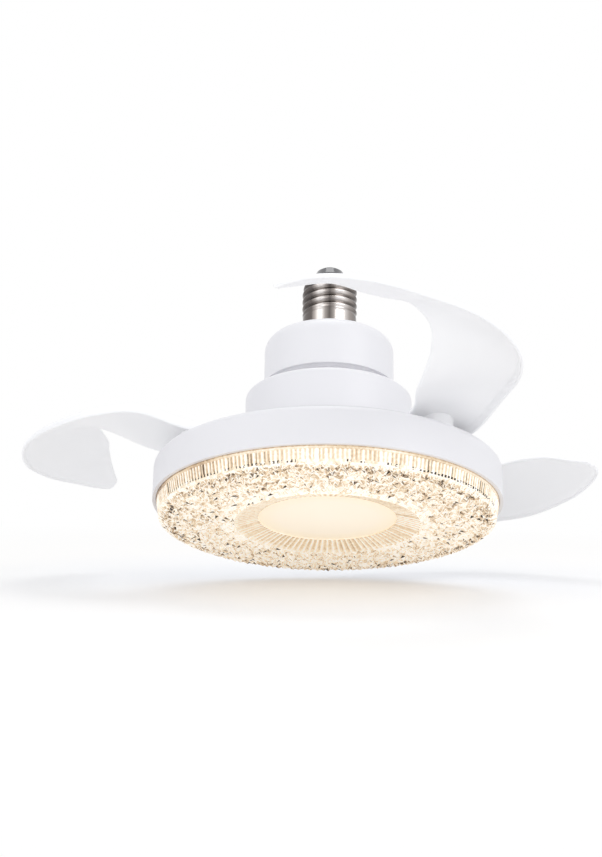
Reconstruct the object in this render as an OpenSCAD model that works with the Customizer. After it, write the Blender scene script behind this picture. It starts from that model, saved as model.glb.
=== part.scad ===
// Ceiling fan lamp on an E27 screw cap: three curved blades swing out from above a round
// crystal lamp, carried by a direct-drive motor on a hollow fixed shaft.
// The origin is the tip of the screw cap's centre contact, and everything hangs below it.

/* [Screw cap] */
// Crest diameter of the screw thread
thread_crest_d = 26.4; // [26:0.1:26.6]
// Root diameter of the screw thread
thread_root_d = 24.4; // [24:0.1:24.8]
// Pitch of the screw thread
thread_pitch = 3.63; // [3.4:0.01:3.8]
// Turns of the screw thread
thread_turns = 5; // [4:1:6]
// Height of the plain skirt under the thread
skirt_h = 5.5; // [4:0.5:9]
// Height of the rounded crown over the thread
crown_h = 2.35; // [2:0.05:4]
// Wall of the screw shell
shell_wall = 0.6; // [0.4:0.1:0.8]
// Height of the insulator over the crown
insulator_h = 4.5; // [3:0.5:6]
// Diameter of the insulator's top
insulator_top_d = 13; // [11:0.5:15]
// Diameter of the centre contact
contact_d = 10.8; // [8:0.2:11]
// Height of the centre contact over the insulator
contact_h = 2.5; // [1.5:0.1:3]

/* [Driver housing] */
// Diameter of the driver housing
housing_d = 61.6; // [58:0.2:70]
// Height of the driver housing up to its shoulder's top
housing_h = 24.4; // [23.6:0.2:34]
// Wall of the driver housing
housing_wall = 1.8; // [1.4:0.1:2.4]
// Radius of the driver housing's rounded shoulder
shoulder_r = 7; // [4:0.5:9]
// Height of the collar between the driver housing and the screw cap
collar_h = 5.7; // [2:0.1:6]
// Wall of the collar's spigot inside the screw cap
spigot_wall = 1.6; // [1.2:0.1:2]
// Thickness of the driver housing's base plate
base_t = 2; // [1.6:0.1:3]
// Diameter of the fixed neck under the driver housing
neck_d = 50; // [44:1:54]
// Height of the fixed neck
neck_h = 5.1; // [4.5:0.1:12]
// Wall of the fixed neck
neck_wall = 2; // [1.6:0.1:3]

/* [Motor housing] */
// Diameter of the rotating motor housing
motor_d = 78.6; // [78:0.2:84]
// Height of the rotating motor housing over the blade carrier
motor_h = 32.5; // [30:0.5:36]
// Diameter of the motor housing's foot, which leaves room for the folded blade roots
foot_d = 67.6; // [67:0.2:70]
// Height of the motor housing's foot
foot_h = 11; // [9:0.5:11]
// Wall of the motor housing
motor_wall = 1.4; // [1:0.1:1.5]
// Radius of the motor housing's rounded shoulder
motor_shoulder_r = 2; // [2:0.5:6]
// Running gap under and over the turning parts
running_gap = 0.8; // [0.6:0.1:1.2]

/* [Motor] */
// Outer diameter of the hollow shaft
shaft_d = 10; // [9:0.5:10.5]
// Bore of the hollow shaft, for the lamp's wires
shaft_bore = 6.4; // [5:0.2:7]
// Outer diameter of the two bearings
bearing_d = 19; // [18:0.5:21]
// Width of the bearings
bearing_w = 5; // [4:0.5:5.5]
// Gap between the rotor cup and the screw bosses of the motor housing
cup_clearance = 1; // [0.8:0.1:2]
// Wall of the rotor cup
cup_wall = 1.6; // [1.2:0.1:2]
// Height of the rotor cup
cup_h = 24; // [22:0.5:26]
// Thickness of the magnets
magnet_t = 2.4; // [2:0.1:3]
// Number of magnets
magnet_count = 14; // [10:2:20]
// Air gap between the magnets and the stator
air_gap = 0.6; // [0.4:0.1:1]
// Stack height of the stator
stator_h = 12; // [8:0.5:13]
// Number of stator teeth
tooth_count = 12; // [9:3:15]
// Width of a stator tooth
tooth_w = 4; // [3:0.2:4.4]
// Thickness of the copper on each side of a tooth
copper_t = 1.5; // [1:0.1:2]

/* [Blade carrier] */
// Thickness of the blade carrier
carrier_t = 2.5; // [2.4:0.1:3]
// Distance of the blade pivots from the fan's axis
pivot_r = 63; // [62:0.5:65]
// Angle of the first blade's pivot, seen from above
first_pivot_angle = -41; // [-180:1:180]
// Diameter of the pivot pins
pin_d = 6; // [5:0.5:6.5]
// Outer diameter of the pivot bushes
bush_d = 9; // [8.5:0.5:9.5]
// Diameter of the blade's pivot boss
boss_d = 16; // [15:0.5:18]
// Height of the blade's pivot boss
boss_h = 6; // [5:0.5:7]
// Radial running clearance of the blade's boss on its bush
boss_clearance = 0.05; // [0.02:0.01:0.08]
// Thickness of the thrust washers
washer_t = 0.5; // [0.4:0.1:0.8]
// Distance of the stop pins from the blade's pivot
stop_r = 10.5; // [10:0.5:12]
// Diameter of the stop pins
stop_d = 2.4; // [2:0.1:3]

/* [Blades] */
// Number of blades
blade_count = 3; // [3:1:3]
// Angle by which a blade swings between open and folded
blade_swing = 81; // [76:1:83]
// Radius of the blade's outer edge
blade_edge_r = 75; // [72:0.5:76]
// Sideways offset of the blade's arc centre from the fan's axis, when folded
arc_shift = 5; // [4:0.5:6]
// Angle at which the blade's root starts, past its pivot
blade_start = 15; // [14:0.5:17]
// Length of the blade along its arc, in degrees
blade_sweep = 170; // [168:0.5:176]
// Greatest width of the blade
blade_w = 42.6; // [38:0.2:43]
// Rise of the blade from its boss to its highest edge
blade_rise = 30; // [24:0.5:31]
// Thickness of the blade
blade_t = 1.5; // [1.2:0.1:2]
// Depth of the turned-down lip along the outer edge
lip_depth = 5; // [2.5:0.5:5.5]
// Width of the turned-down lip
lip_w = 3; // [2:0.5:4]
// Upward bow of the blade between its edges
blade_bow = 2.2; // [0:0.2:3]

/* [Lamp] */
// Diameter of the lamp's white drum
drum_d = 162; // [160:1:170]
// Height of the drum
drum_h = 17.7; // [16:0.1:26]
// Wall of the drum
drum_wall = 1.6; // [1.4:0.1:2]
// Radius of the drum's rounded top edge
drum_edge_r = 3; // [1:0.5:4]
// Drop of the crystal diffuser below the drum
diffuser_drop = 9.1; // [8:0.1:14]
// Wall of the crystal diffuser
diffuser_wall = 2.6; // [2:0.1:3]
// Thickness of the crystal diffuser's floor
diffuser_floor = 2.6; // [2:0.1:3]
// Radius of the diffuser's lower edge
diffuser_edge_r = 2.5; // [1:0.5:3]
// Diameter of the opal disc in the middle
opal_d = 64; // [56:1:70]
// Height of the opal disc over the diffuser's underside
opal_lift = 3.4; // [2:0.1:5]
// Width of the ribbed cone around the opal disc
cone_w = 11; // [8:0.5:14]
// Thickness of the opal disc
opal_t = 1.6; // [1.2:0.1:2]
// Number of LED chips on the outer ring
led_count = 36; // [24:1:44]

/* [Fasteners and boards] */
// Diameter of the small screws
screw_d = 2.6; // [2:0.2:3]
// Height of a small screw's head
screw_head_h = 1.2; // [1:0.1:1.4]
// Thickness of the circuit boards
board_t = 1.6; // [1:0.1:2]
// Thickness of the lamp's heat plate
heat_plate_t = 1.5; // [1:0.1:2]
// Height of the shaft nuts
nut_h = 4; // [3:0.5:5]
// Width across the corners of the shaft nuts
nut_d = 17; // [16:0.5:18]

/* [Hidden] */

$fn = 96;
white = [0.93, 0.93, 0.94];
clear_warm = [0.98, 0.88, 0.7, 0.6];
nickel = [0.72, 0.69, 0.64];
steel = [0.62, 0.63, 0.65];
copper = [0.78, 0.45, 0.25];
board_green = [0.1, 0.4, 0.22];
eps = 0.01;
fit_gap = 0.3;
press_gap = 0.02;

// Levels, from the centre contact's tip down
insulator_top = -contact_h;
crown_top = insulator_top - insulator_h;
thread_top = crown_top - crown_h;
thread_h = thread_turns * thread_pitch;
thread_bottom = thread_top - thread_h;
skirt_bottom = thread_bottom - skirt_h;
housing_top = skirt_bottom - collar_h;
housing_bottom = housing_top - housing_h;
neck_bottom = housing_bottom - neck_h;
cover_top = neck_bottom - running_gap;
carrier_top = cover_top - motor_h;
carrier_bottom = carrier_top - carrier_t;
drum_top = carrier_bottom - running_gap;
drum_bottom = drum_top - drum_h;
diffuser_bottom = drum_bottom - diffuser_drop;

// Screw cap
shell_bore_r = thread_root_d / 2 - shell_wall;
crown_top_r = insulator_top_d / 2 + 2;
thread_sides = 40;
thread_steps = 8;

// Driver housing
housing_r = housing_d / 2;
housing_inner_r = housing_r - housing_wall;
collar_r = thread_root_d / 2 + 1.6;
spigot_r = shell_bore_r - press_gap;
spigot_bore_r = spigot_r - spigot_wall;
spigot_h = skirt_h + thread_h / 2;
base_r = housing_inner_r - fit_gap / 2;
base_top = housing_bottom + base_t;
neck_inner_r = neck_d / 2 - neck_wall;
screw_head_r = screw_d * 0.9;
base_screw_r = neck_inner_r - screw_head_r - 0.6;
base_screw_count = 3;
base_screw_turn = 60;
base_boss_r = 3.4;
base_screw_length = 9;
board_level = base_top + nut_h + 4;
board_r = housing_inner_r - 1.5;
standoff_count = 3;
standoff_r = 2;
standoff_circle_r = board_r - standoff_r - 1;
board_hole_r = 4;

// Motor housing
motor_r = motor_d / 2;
foot_r = foot_d / 2;
cover_boss_r = 2.2;
cover_boss_h = 9;
cover_screw_r = foot_r - motor_wall - cover_boss_r;
cover_screw_turn = 60;

// Motor
shaft_r = shaft_d / 2;
bearing_r = bearing_d / 2;
race_t = (bearing_r - shaft_r) / 4;
ball_circle_r = (bearing_r + shaft_r) / 2;
ball_r = (bearing_r - shaft_r) / 3.4;
ball_count = 8;
race_gap = 0.05;
seat_wall = 2.4;
seat_lip = 1;
lower_bearing_bottom = carrier_top + seat_lip;
upper_bearing_top = cover_top - motor_wall;
upper_bearing_bottom = upper_bearing_top - bearing_w;
shaft_collar_r = shaft_r + 1;
cover_bore_r = shaft_collar_r + 0.6;
lip_bore_r = bearing_r - race_t;
cup_r = cover_screw_r - cover_boss_r - cup_clearance;
cup_inner_r = cup_r - cup_wall;
magnet_inner_r = cup_inner_r - magnet_t;
stator_r = magnet_inner_r - air_gap;
stator_mid = (lower_bearing_bottom + bearing_w + upper_bearing_bottom) / 2;
stator_bottom = stator_mid - stator_h / 2;
stator_ring_r = shaft_r + 4;
tooth_tip_t = 1.6;
tooth_tip_gap = 2;
magnet_h = stator_h + 3;
shaft_top = base_top + nut_h + 2;
shaft_bottom = drum_top - drum_wall - nut_h - 1.5;
cup_screw_offset = 4.5;
cup_screw_r = bearing_r + seat_wall + cup_screw_offset;
cup_boss_h = 4.5;
screw_count = 3;

// Blade carrier
carrier_r = pivot_r + boss_d / 2 + 1;
pin_r = pin_d / 2;
bush_r = bush_d / 2;
boss_r = boss_d / 2;
boss_bore_r = bush_r + boss_clearance;
washer_gap = 0.05;
washer_r = boss_r - 0.5;
boss_bottom = carrier_top + washer_t + washer_gap;
boss_top = boss_bottom + boss_h;
pin_head_bottom = boss_top + fit_gap;
pin_head_h = 1.4;
pin_head_r = bush_r + 1.2;
head_clearance = 0.5;
groove_inner_r = boss_bore_r + 0.9;
groove_outer_r = boss_r - 1.1;
groove_h = boss_h - 1.6;
spring_gap = 0.2;
lug_h = 1.5;
lug_w = 4;
lug_length = stop_r + stop_d / 2;
stop_turn = asin((lug_w / 2 + stop_d / 2 + fit_gap / 2) / stop_r);
stop_h = washer_t + lug_h;

// Blades, described in their folded place with the pivot on the +X side: the heights of the
// outer and inner edges over the boss's underside, as shares of the blade's rise, and the
// width as a share of its greatest, each at even stations from the root to the tip

outer_rise = [0.133, 0.22, 0.456, 0.468, 0.441, 0.449, 0.475, 0.493, 0.577, 0.634, 0.597];
inner_rise = [0.113, 0.14, 0.238, 0.383, 0.584, 0.803, 0.978, 0.98, 0.985, 0.985, 0.825];
width_share = [0.786, 0.869, 0.99, 0.978, 0.896, 0.816, 0.842, 0.888, 0.855, 0.699, 0.526];
tip_start = 0.8;
tip_blunt = 0.97;
tip_outer_share = 0.45;
root_end = 0.06;
root_share = 0.5;
root_outer_share = 0.5;
tip_lip_share = 0.45;
tip_thick_share = 0.2;
rings = 38;
sheet_steps = 6;
lip_steps = 4;

// Lamp
drum_r = drum_d / 2;
drum_inner_r = drum_r - drum_wall;
diffuser_r = drum_inner_r - fit_gap;
diffuser_draft = 1;
flange_t = 1.2;
flange_top = drum_bottom + 3;
flange_w = 5.6;
opal_r = opal_d / 2;
cone_r = opal_r + cone_w;
opal_bottom = diffuser_bottom + opal_lift;
opal_seat = 1.7;
cone_edge_t = 0.5;
clip_t = 0.8;
clip_w = 8;
clip_top = flange_top - flange_t - 0.1;
clip_reach = 2;
ledge_w = 2.5;
ledge_t = 1.2;
clip_boss_r = 3.4;
clip_screw_r = diffuser_r - flange_w - clip_boss_r - 1.5;
clip_count = 3;
clip_screw_grip = 7;
plate_screw_grip = 4;
heat_plate_top = drum_top - drum_wall - nut_h - 2;
heat_plate_bottom = heat_plate_top - heat_plate_t;
heat_plate_r = clip_screw_r - clip_boss_r - 1;
plate_hole_r = nut_d / 2 + 3;
plate_boss_r = 3.6;
plate_screw_r = heat_plate_r - 5;
led_board_bottom = heat_plate_bottom - board_t;
led_board_r = heat_plate_r - 1;
led_size = 3;
led_h = 0.8;
led_ring_gap = 6;
led_ring_r = plate_screw_r - led_ring_gap;
led_inner_count = 12;
led_inner_ring_r = plate_hole_r + led_ring_gap;

// Smooth curve through evenly spaced values, for u from 0 to 1
function spline(values, u) =
    let (n = len(values) - 1,
         s = min(max(u, 0), 1) * n,
         k = min(floor(s), n - 1),
         f = s - k,
         p0 = values[max(k - 1, 0)],
         p1 = values[k],
         p2 = values[k + 1],
         p3 = values[min(k + 2, n)])
    0.5 * (2 * p1 + (p2 - p0) * f + (2 * p0 - 5 * p1 + 4 * p2 - p3) * f * f
        + (3 * p1 - p0 - 3 * p2 + p3) * f * f * f);

// Faces of a skin over rings of points that run anticlockwise seen from the last ring
function skin_faces(ring_total, ring_size) =
    let (last = (ring_total - 1) * ring_size)
    concat(
        [for (i = [0 : ring_total - 2]) for (j = [0 : ring_size - 1]) for (half = [0, 1])
            let (a = i * ring_size + j,
                 b = i * ring_size + (j + 1) % ring_size)
            half == 0 ? [a, b + ring_size, b] : [a, a + ring_size, b + ring_size]],
        [[for (j = [0 : ring_size - 1]) j]],
        [[for (j = [0 : ring_size - 1]) last + ring_size - 1 - j]]);

module at_pivots() {
    for (k = [0 : blade_count - 1])
        rotate([0, 0, first_pivot_angle - k * 360 / blade_count])
            translate([pivot_r, 0, 0])
                children();
}

module ring(outer_r, inner_r, h) {
    difference() {
        cylinder(r = outer_r, h = h);
        translate([0, 0, -eps])
            cylinder(r = inner_r, h = h + 2 * eps);
    }
}

// ---- Screw cap ----

// Radius of the screw shell at a height above the skirt's bottom and an angle
function shell_radius(h, angle) =
    let (turn_h = h - skirt_h,
         crest = thread_crest_d / 2,
         root = thread_root_d / 2,
         fade = min(1, max(0, turn_h) / thread_pitch, max(0, thread_h - turn_h) / thread_pitch),
         wave = (1 + cos(360 * turn_h / thread_pitch - angle)) / 2,
         crown_f = min(1, max(0, turn_h - thread_h) / crown_h))
    crown_f > 0
        ? root - (root - crown_top_r) * (1 - sqrt(1 - crown_f * crown_f))
        : root + (crest - root) * (turn_h < 0 ? 0.7 : 0.7 * (1 - fade) * (turn_h < thread_h / 2 ? 1 : 0)
            + fade * wave);

module screw_shell() {
    levels = concat(
        [0, skirt_h - 0.8],
        [for (i = [0 : thread_turns * thread_steps]) skirt_h + i * thread_pitch / thread_steps],
        [for (f = [0.4, 0.7, 0.9, 1]) skirt_h + thread_h + f * crown_h]);
    points = [for (h = levels) for (j = [0 : thread_sides - 1])
        let (angle = j * 360 / thread_sides,
             r = shell_radius(h, angle))
        [r * cos(angle), r * sin(angle), h]];
    color(nickel)
        translate([0, 0, skirt_bottom])
            difference() {
                polyhedron(points = points, faces = skin_faces(len(levels), thread_sides));
                translate([0, 0, -eps])
                    cylinder(r = shell_bore_r, h = skirt_h + thread_h + 2 * eps);
                cylinder(r = crown_top_r - 1, h = skirt_h + thread_h + crown_h + 1);
            }
}

module cap_insulator() {
    plug_r = crown_top_r - 1 - press_gap;
    color([0.1, 0.1, 0.11])
        difference() {
            union() {
                translate([0, 0, crown_top])
                    rotate_extrude()
                        polygon([[0, 0], [crown_top_r, 0], [crown_top_r - 0.4, insulator_h * 0.3],
                            [insulator_top_d / 2, insulator_h], [0, insulator_h]]);
                translate([0, 0, thread_top])
                    cylinder(r = plug_r, h = crown_h + eps);
            }
            translate([0, 0, thread_top - eps])
                cylinder(r = 1.2, h = crown_h + insulator_h + 1);
        }
}

module centre_contact() {
    contact_r = contact_d / 2;
    color(steel) {
        translate([0, 0, insulator_top])
            rotate_extrude()
                intersection() {
                    translate([0, contact_h - contact_dome_r()])
                        circle(r = contact_dome_r());
                    square([contact_r, contact_h]);
                }
        translate([0, 0, thread_top - 3])
            cylinder(r = 0.9, h = insulator_top - thread_top + 3 + eps);
    }
}

// Radius of the contact's domed top
function contact_dome_r() = (pow(contact_d / 2, 2) + pow(contact_h * 0.7, 2)) / (2 * contact_h * 0.7);

// ---- Driver housing ----

module housing_outline(r, h, fillet) {
    union() {
        square([r - fillet, h]);
        square([r, h - fillet]);
        translate([r - fillet, h - fillet])
            circle(r = fillet);
    }
}

module at_base_screws() {
    for (k = [0 : base_screw_count - 1])
        rotate([0, 0, base_screw_turn + k * 360 / base_screw_count])
            translate([base_screw_r, 0, 0])
                children();
}

module at_standoffs() {
    for (k = [0 : standoff_count - 1])
        rotate([0, 0, k * 360 / standoff_count])
            translate([standoff_circle_r, 0, 0])
                children();
}

module driver_housing() {
    color(white)
        difference() {
            union() {
                translate([0, 0, housing_bottom])
                    difference() {
                        union() {
                            rotate_extrude()
                                intersection() {
                                    housing_outline(housing_r, housing_h, shoulder_r);
                                    square([housing_r, housing_h]);
                                }
                            translate([0, 0, housing_h - eps])
                                cylinder(r1 = collar_r + 1.2, r2 = collar_r, h = collar_h + eps);
                            translate([0, 0, housing_h + collar_h - eps])
                                cylinder(r = spigot_r, h = spigot_h);
                        }
                        rotate_extrude()
                            intersection() {
                                housing_outline(housing_inner_r, housing_h - housing_wall,
                                    shoulder_r - housing_wall);
                                translate([0, -eps])
                                    square([housing_r, housing_h]);
                            }
                        translate([0, 0, -eps])
                            cylinder(r = housing_inner_r, h = 1);
                        translate([0, 0, housing_h / 2])
                            cylinder(r = spigot_bore_r, h = housing_h + collar_h + spigot_h);
                    }
                at_base_screws()
                    translate([0, 0, base_top])
                        cylinder(r = base_boss_r, h = housing_top - housing_wall / 2 - base_top);
            }
            at_base_screws()
                translate([0, 0, base_top - eps])
                    cylinder(d = screw_d, h = base_screw_length);
        }
}

module housing_base() {
    color(white)
        difference() {
            union() {
                translate([0, 0, housing_bottom])
                    cylinder(r = base_r, h = base_t);
                translate([0, 0, neck_bottom])
                    cylinder(d = neck_d, h = neck_h + eps);
                at_standoffs()
                    translate([0, 0, base_top - eps])
                        cylinder(r = standoff_r, h = board_level - base_top + eps);
            }
            translate([0, 0, neck_bottom - eps])
                cylinder(r = neck_inner_r, h = neck_h + eps);
            translate([0, 0, neck_bottom])
                cylinder(r = shaft_r + press_gap, h = neck_h + base_t + 1);
            at_base_screws()
                translate([0, 0, housing_bottom - eps])
                    cylinder(d = screw_d + 0.3, h = base_t + 1);
        }
}

module screw(length) {
    cylinder(r = screw_d / 2 - press_gap, h = length);
    translate([0, 0, -screw_head_h])
        difference() {
            cylinder(r = screw_head_r, h = screw_head_h);
            translate([0, 0, -eps]) {
                translate([-screw_d * 0.6, -0.3, 0])
                    cube([screw_d * 1.2, 0.6, screw_head_h / 2]);
                translate([-0.3, -screw_d * 0.6, 0])
                    cube([0.6, screw_d * 1.2, screw_head_h / 2]);
            }
        }
}

module base_screws() {
    color(steel)
        at_base_screws()
            translate([0, 0, housing_bottom])
                screw(base_screw_length);
}

module driver_board() {
    color(board_green)
        difference() {
            translate([0, 0, board_level])
                cylinder(r = board_r, h = board_t);
            translate([0, 0, board_level - eps])
                cylinder(r = board_hole_r, h = board_t + 1);
            at_base_screws()
                translate([0, 0, board_level - eps])
                    cylinder(r = base_boss_r + 0.6, h = board_t + 1);
            at_standoffs()
                translate([0, 0, board_level - eps])
                    cylinder(d = 1.6, h = board_t + 1);
        }
}

module driver_transformer() {
    core_w = 11;
    core_d = 9;
    core_h = 9;
    bobbin_h = 5;
    translate([-board_r * 0.22, board_r * 0.44, board_level + board_t]) {
        color([0.2, 0.2, 0.22])
            difference() {
                translate([-core_w / 2, -core_d / 2, 0])
                    cube([core_w, core_d, core_h]);
                for (side = [-1, 1])
                    translate([side * core_w / 3 - core_w / 12, -core_d, core_h / 4])
                        cube([core_w / 6, 2 * core_d, core_h / 2]);
            }
        color([0.85, 0.75, 0.3])
            for (side = [-1, 1])
                translate([-core_w * 0.35, side * (core_d / 2 + 0.8) - 0.8, core_h / 2 - bobbin_h / 2])
                    cube([core_w * 0.7, 1.6, bobbin_h]);
    }
}

module driver_capacitor() {
    can_r = 4;
    can_h = 10;
    color([0.15, 0.2, 0.45])
        translate([board_r * 0.5, -board_r * 0.08, board_level + board_t])
            rotate_extrude()
                difference() {
                    square([can_r, can_h]);
                    translate([can_r + 0.6, can_h * 0.12])
                        circle(r = 1, $fn = 24);
                }
}

module receiver_board() {
    board_w = 16;
    receiver_h = 8;
    chip = 5;
    translate([-board_r / 2, -board_r * 0.44, board_level + board_t]) {
        color(board_green)
            cube([board_w, 1, receiver_h]);
        color([0.08, 0.08, 0.08])
            translate([(board_w - chip) / 2, -1, 1.5])
                cube([chip, 1 + eps, chip]);
    }
}

module hex_nut() {
    difference() {
        cylinder(d = nut_d, h = nut_h, $fn = 6);
        translate([0, 0, -eps])
            cylinder(r = shaft_r + press_gap, h = nut_h + 1);
    }
}

module upper_shaft_nut() {
    color(steel)
        translate([0, 0, base_top])
            hex_nut();
}

// ---- Motor ----

module motor_shaft() {
    color(steel)
        difference() {
            union() {
                translate([0, 0, shaft_bottom])
                    cylinder(r = shaft_r, h = shaft_top - shaft_bottom);
                translate([0, 0, drum_top])
                    cylinder(r = shaft_collar_r, h = lower_bearing_bottom - drum_top);
                translate([0, 0, upper_bearing_top])
                    cylinder(r = shaft_collar_r, h = housing_bottom - upper_bearing_top);
            }
            translate([0, 0, shaft_bottom - eps])
                cylinder(d = shaft_bore, h = shaft_top - shaft_bottom + 1);
        }
}

module at_bearings() {
    for (level = [lower_bearing_bottom, upper_bearing_bottom])
        translate([0, 0, level])
            children();
}

module bearing_inner_races() {
    color(steel)
        at_bearings()
            rotate_extrude()
                difference() {
                    translate([shaft_r + press_gap, 0])
                        square([race_t, bearing_w]);
                    translate([ball_circle_r, bearing_w / 2])
                        circle(r = ball_r + race_gap);
                }
}

module bearing_outer_races() {
    color(steel)
        at_bearings()
            rotate_extrude()
                difference() {
                    translate([bearing_r - race_t, 0])
                        square([race_t, bearing_w]);
                    translate([ball_circle_r, bearing_w / 2])
                        circle(r = ball_r + race_gap);
                }
}

module bearing_balls() {
    color(steel)
        at_bearings()
            for (k = [0 : ball_count - 1])
                rotate([0, 0, k * 360 / ball_count])
                    translate([ball_circle_r, 0, bearing_w / 2])
                        sphere(r = ball_r);
}

module stator_core() {
    color([0.5, 0.5, 0.52])
        translate([0, 0, stator_bottom])
            difference() {
                union() {
                    cylinder(r = stator_ring_r, h = stator_h);
                    difference() {
                        for (k = [0 : tooth_count - 1])
                            rotate([0, 0, k * 360 / tooth_count])
                                translate([0, -tooth_w / 2, 0])
                                    cube([stator_r - tooth_tip_t / 2, tooth_w, stator_h]);
                        translate([0, 0, -eps])
                            cylinder(r = shaft_r + 1, h = stator_h + 1);
                    }
                    difference() {
                        ring(stator_r, stator_r - tooth_tip_t, stator_h);
                        for (k = [0 : tooth_count - 1])
                            rotate([0, 0, (k + 0.5) * 360 / tooth_count])
                                translate([0, -tooth_tip_gap / 2, -eps])
                                    cube([stator_r + 1, tooth_tip_gap, stator_h + 1]);
                    }
                }
                translate([0, 0, -eps])
                    cylinder(r = shaft_r + press_gap, h = stator_h + 1);
            }
}

module stator_windings() {
    inner = stator_ring_r + 0.6;
    outer = stator_r - tooth_tip_t - 0.6;
    insulation = 0.2;
    slot_gap = 0.15;
    slope = tan(180 / tooth_count);
    color(copper)
        for (k = [0 : tooth_count - 1])
            rotate([0, 0, k * 360 / tooth_count])
                translate([0, 0, stator_bottom + stator_h / 2])
                    difference() {
                        translate([0, 0, -stator_h / 2 - copper_t])
                            linear_extrude(height = stator_h + 2 * copper_t)
                                intersection() {
                                    translate([inner, -tooth_w / 2 - copper_t])
                                        square([outer - inner, tooth_w + 2 * copper_t]);
                                    polygon([[slot_gap / slope, 0], [outer, -outer * slope + slot_gap],
                                        [outer, outer * slope - slot_gap]]);
                                }
                        translate([inner - eps, -tooth_w / 2 - insulation, -stator_h / 2 - insulation])
                            cube([outer - inner + 1, tooth_w + 2 * insulation, stator_h + 2 * insulation]);
                    }
}

module rotor_cup() {
    color(steel)
        translate([0, 0, carrier_top])
            difference() {
                union() {
                    ring(cup_r, cup_inner_r, cup_h);
                    cylinder(r = cup_inner_r + eps, h = cup_wall);
                    cylinder(r = bearing_r + seat_wall, h = seat_lip + bearing_w);
                    for (k = [0 : screw_count - 1])
                        rotate([0, 0, k * 360 / screw_count])
                            translate([cup_screw_r, 0, 0])
                                cylinder(r = screw_d / 2 + 1.4, h = cup_boss_h);
                }
                translate([0, 0, seat_lip])
                    cylinder(r = bearing_r, h = cup_h);
                translate([0, 0, -eps])
                    cylinder(r = lip_bore_r, h = cup_h);
                for (k = [0 : screw_count - 1])
                    rotate([0, 0, k * 360 / screw_count])
                        translate([cup_screw_r, 0, -eps])
                            cylinder(d = screw_d, h = cup_boss_h - 0.5);
            }
}

module rotor_magnets() {
    pitch_angle = 360 / magnet_count;
    color([0.25, 0.25, 0.27])
        translate([0, 0, stator_mid - magnet_h / 2])
            difference() {
                ring(cup_inner_r, magnet_inner_r, magnet_h);
                for (k = [0 : magnet_count - 1])
                    rotate([0, 0, k * pitch_angle])
                        translate([0, -0.4, -eps])
                            cube([2 * cup_r, 0.8, magnet_h + 1]);
            }
}

module cup_screws() {
    color(steel)
        for (k = [0 : screw_count - 1])
            rotate([0, 0, k * 360 / screw_count])
                translate([cup_screw_r, 0, carrier_bottom + screw_head_h])
                    screw(carrier_t - screw_head_h + cup_boss_h - 1.2);
}

// ---- Motor housing ----

module motor_cover() {
    color(white)
        difference() {
            union() {
                translate([0, 0, carrier_top])
                    cylinder(r = foot_r, h = foot_h + eps);
                translate([0, 0, carrier_top + foot_h])
                    rotate_extrude()
                        intersection() {
                            housing_outline(motor_r, motor_h - foot_h, motor_shoulder_r);
                            square([motor_r, motor_h]);
                        }
            }
            difference() {
                union() {
                    translate([0, 0, carrier_top - eps])
                        cylinder(r = foot_r - motor_wall, h = foot_h + 2 * motor_wall);
                    translate([0, 0, carrier_top + foot_h + motor_wall])
                        rotate_extrude()
                            intersection() {
                                housing_outline(motor_r - motor_wall,
                                    motor_h - foot_h - 2 * motor_wall, motor_shoulder_r - motor_wall);
                                square([motor_r, motor_h]);
                            }
                }
                translate([0, 0, upper_bearing_bottom])
                    cylinder(r = bearing_r + seat_wall, h = motor_h);
                for (k = [0 : screw_count - 1])
                    rotate([0, 0, cover_screw_turn + k * 360 / screw_count])
                        translate([cover_screw_r, 0, carrier_top - 1])
                            cylinder(r = cover_boss_r, h = cover_boss_h + 1);
                for (k = [0 : screw_count - 1])
                    rotate([0, 0, cover_screw_turn + k * 360 / screw_count])
                        translate([cover_screw_r, -cover_boss_r / 2, carrier_top - 1])
                            cube([cover_boss_r + motor_wall, cover_boss_r, cover_boss_h + 1]);
            }
            translate([0, 0, upper_bearing_bottom - eps])
                cylinder(r = bearing_r, h = bearing_w + eps);
            translate([0, 0, carrier_top])
                cylinder(r = cover_bore_r, h = motor_h + 1);
            for (k = [0 : screw_count - 1])
                rotate([0, 0, cover_screw_turn + k * 360 / screw_count])
                    translate([cover_screw_r, 0, carrier_top - eps])
                        cylinder(d = screw_d, h = cover_boss_h - 1);
        }
}

module cover_screws() {
    color(steel)
        for (k = [0 : screw_count - 1])
            rotate([0, 0, cover_screw_turn + k * 360 / screw_count])
                translate([cover_screw_r, 0, carrier_bottom + screw_head_h])
                    screw(carrier_t - screw_head_h + cover_boss_h - 2);
}

// ---- Blade carrier ----

module blade_carrier() {
    screw_spots = [[cup_screw_r, 0], [cover_screw_r, cover_screw_turn]];
    color(white)
        difference() {
            union() {
                translate([0, 0, carrier_bottom])
                    cylinder(r = carrier_r, h = carrier_t);
                at_pivots()
                    for (direction = [90 - stop_turn, 90 + blade_swing + stop_turn])
                        rotate([0, 0, direction])
                            translate([stop_r, 0, carrier_bottom])
                                cylinder(d = stop_d, h = carrier_t + stop_h);
            }
            translate([0, 0, carrier_bottom - eps])
                cylinder(r = lip_bore_r, h = carrier_t + 1);
            at_pivots()
                translate([0, 0, carrier_bottom - eps])
                    cylinder(r = pin_r + press_gap, h = carrier_t + 1);
            for (spot = screw_spots)
                for (k = [0 : screw_count - 1])
                    rotate([0, 0, spot[1] + k * 360 / screw_count])
                        translate([spot[0], 0, carrier_bottom - eps]) {
                            cylinder(d = screw_d + 0.3, h = carrier_t + 1);
                            cylinder(r = screw_head_r + 0.2, h = screw_head_h + 2 * eps);
                        }
        }
}

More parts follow.
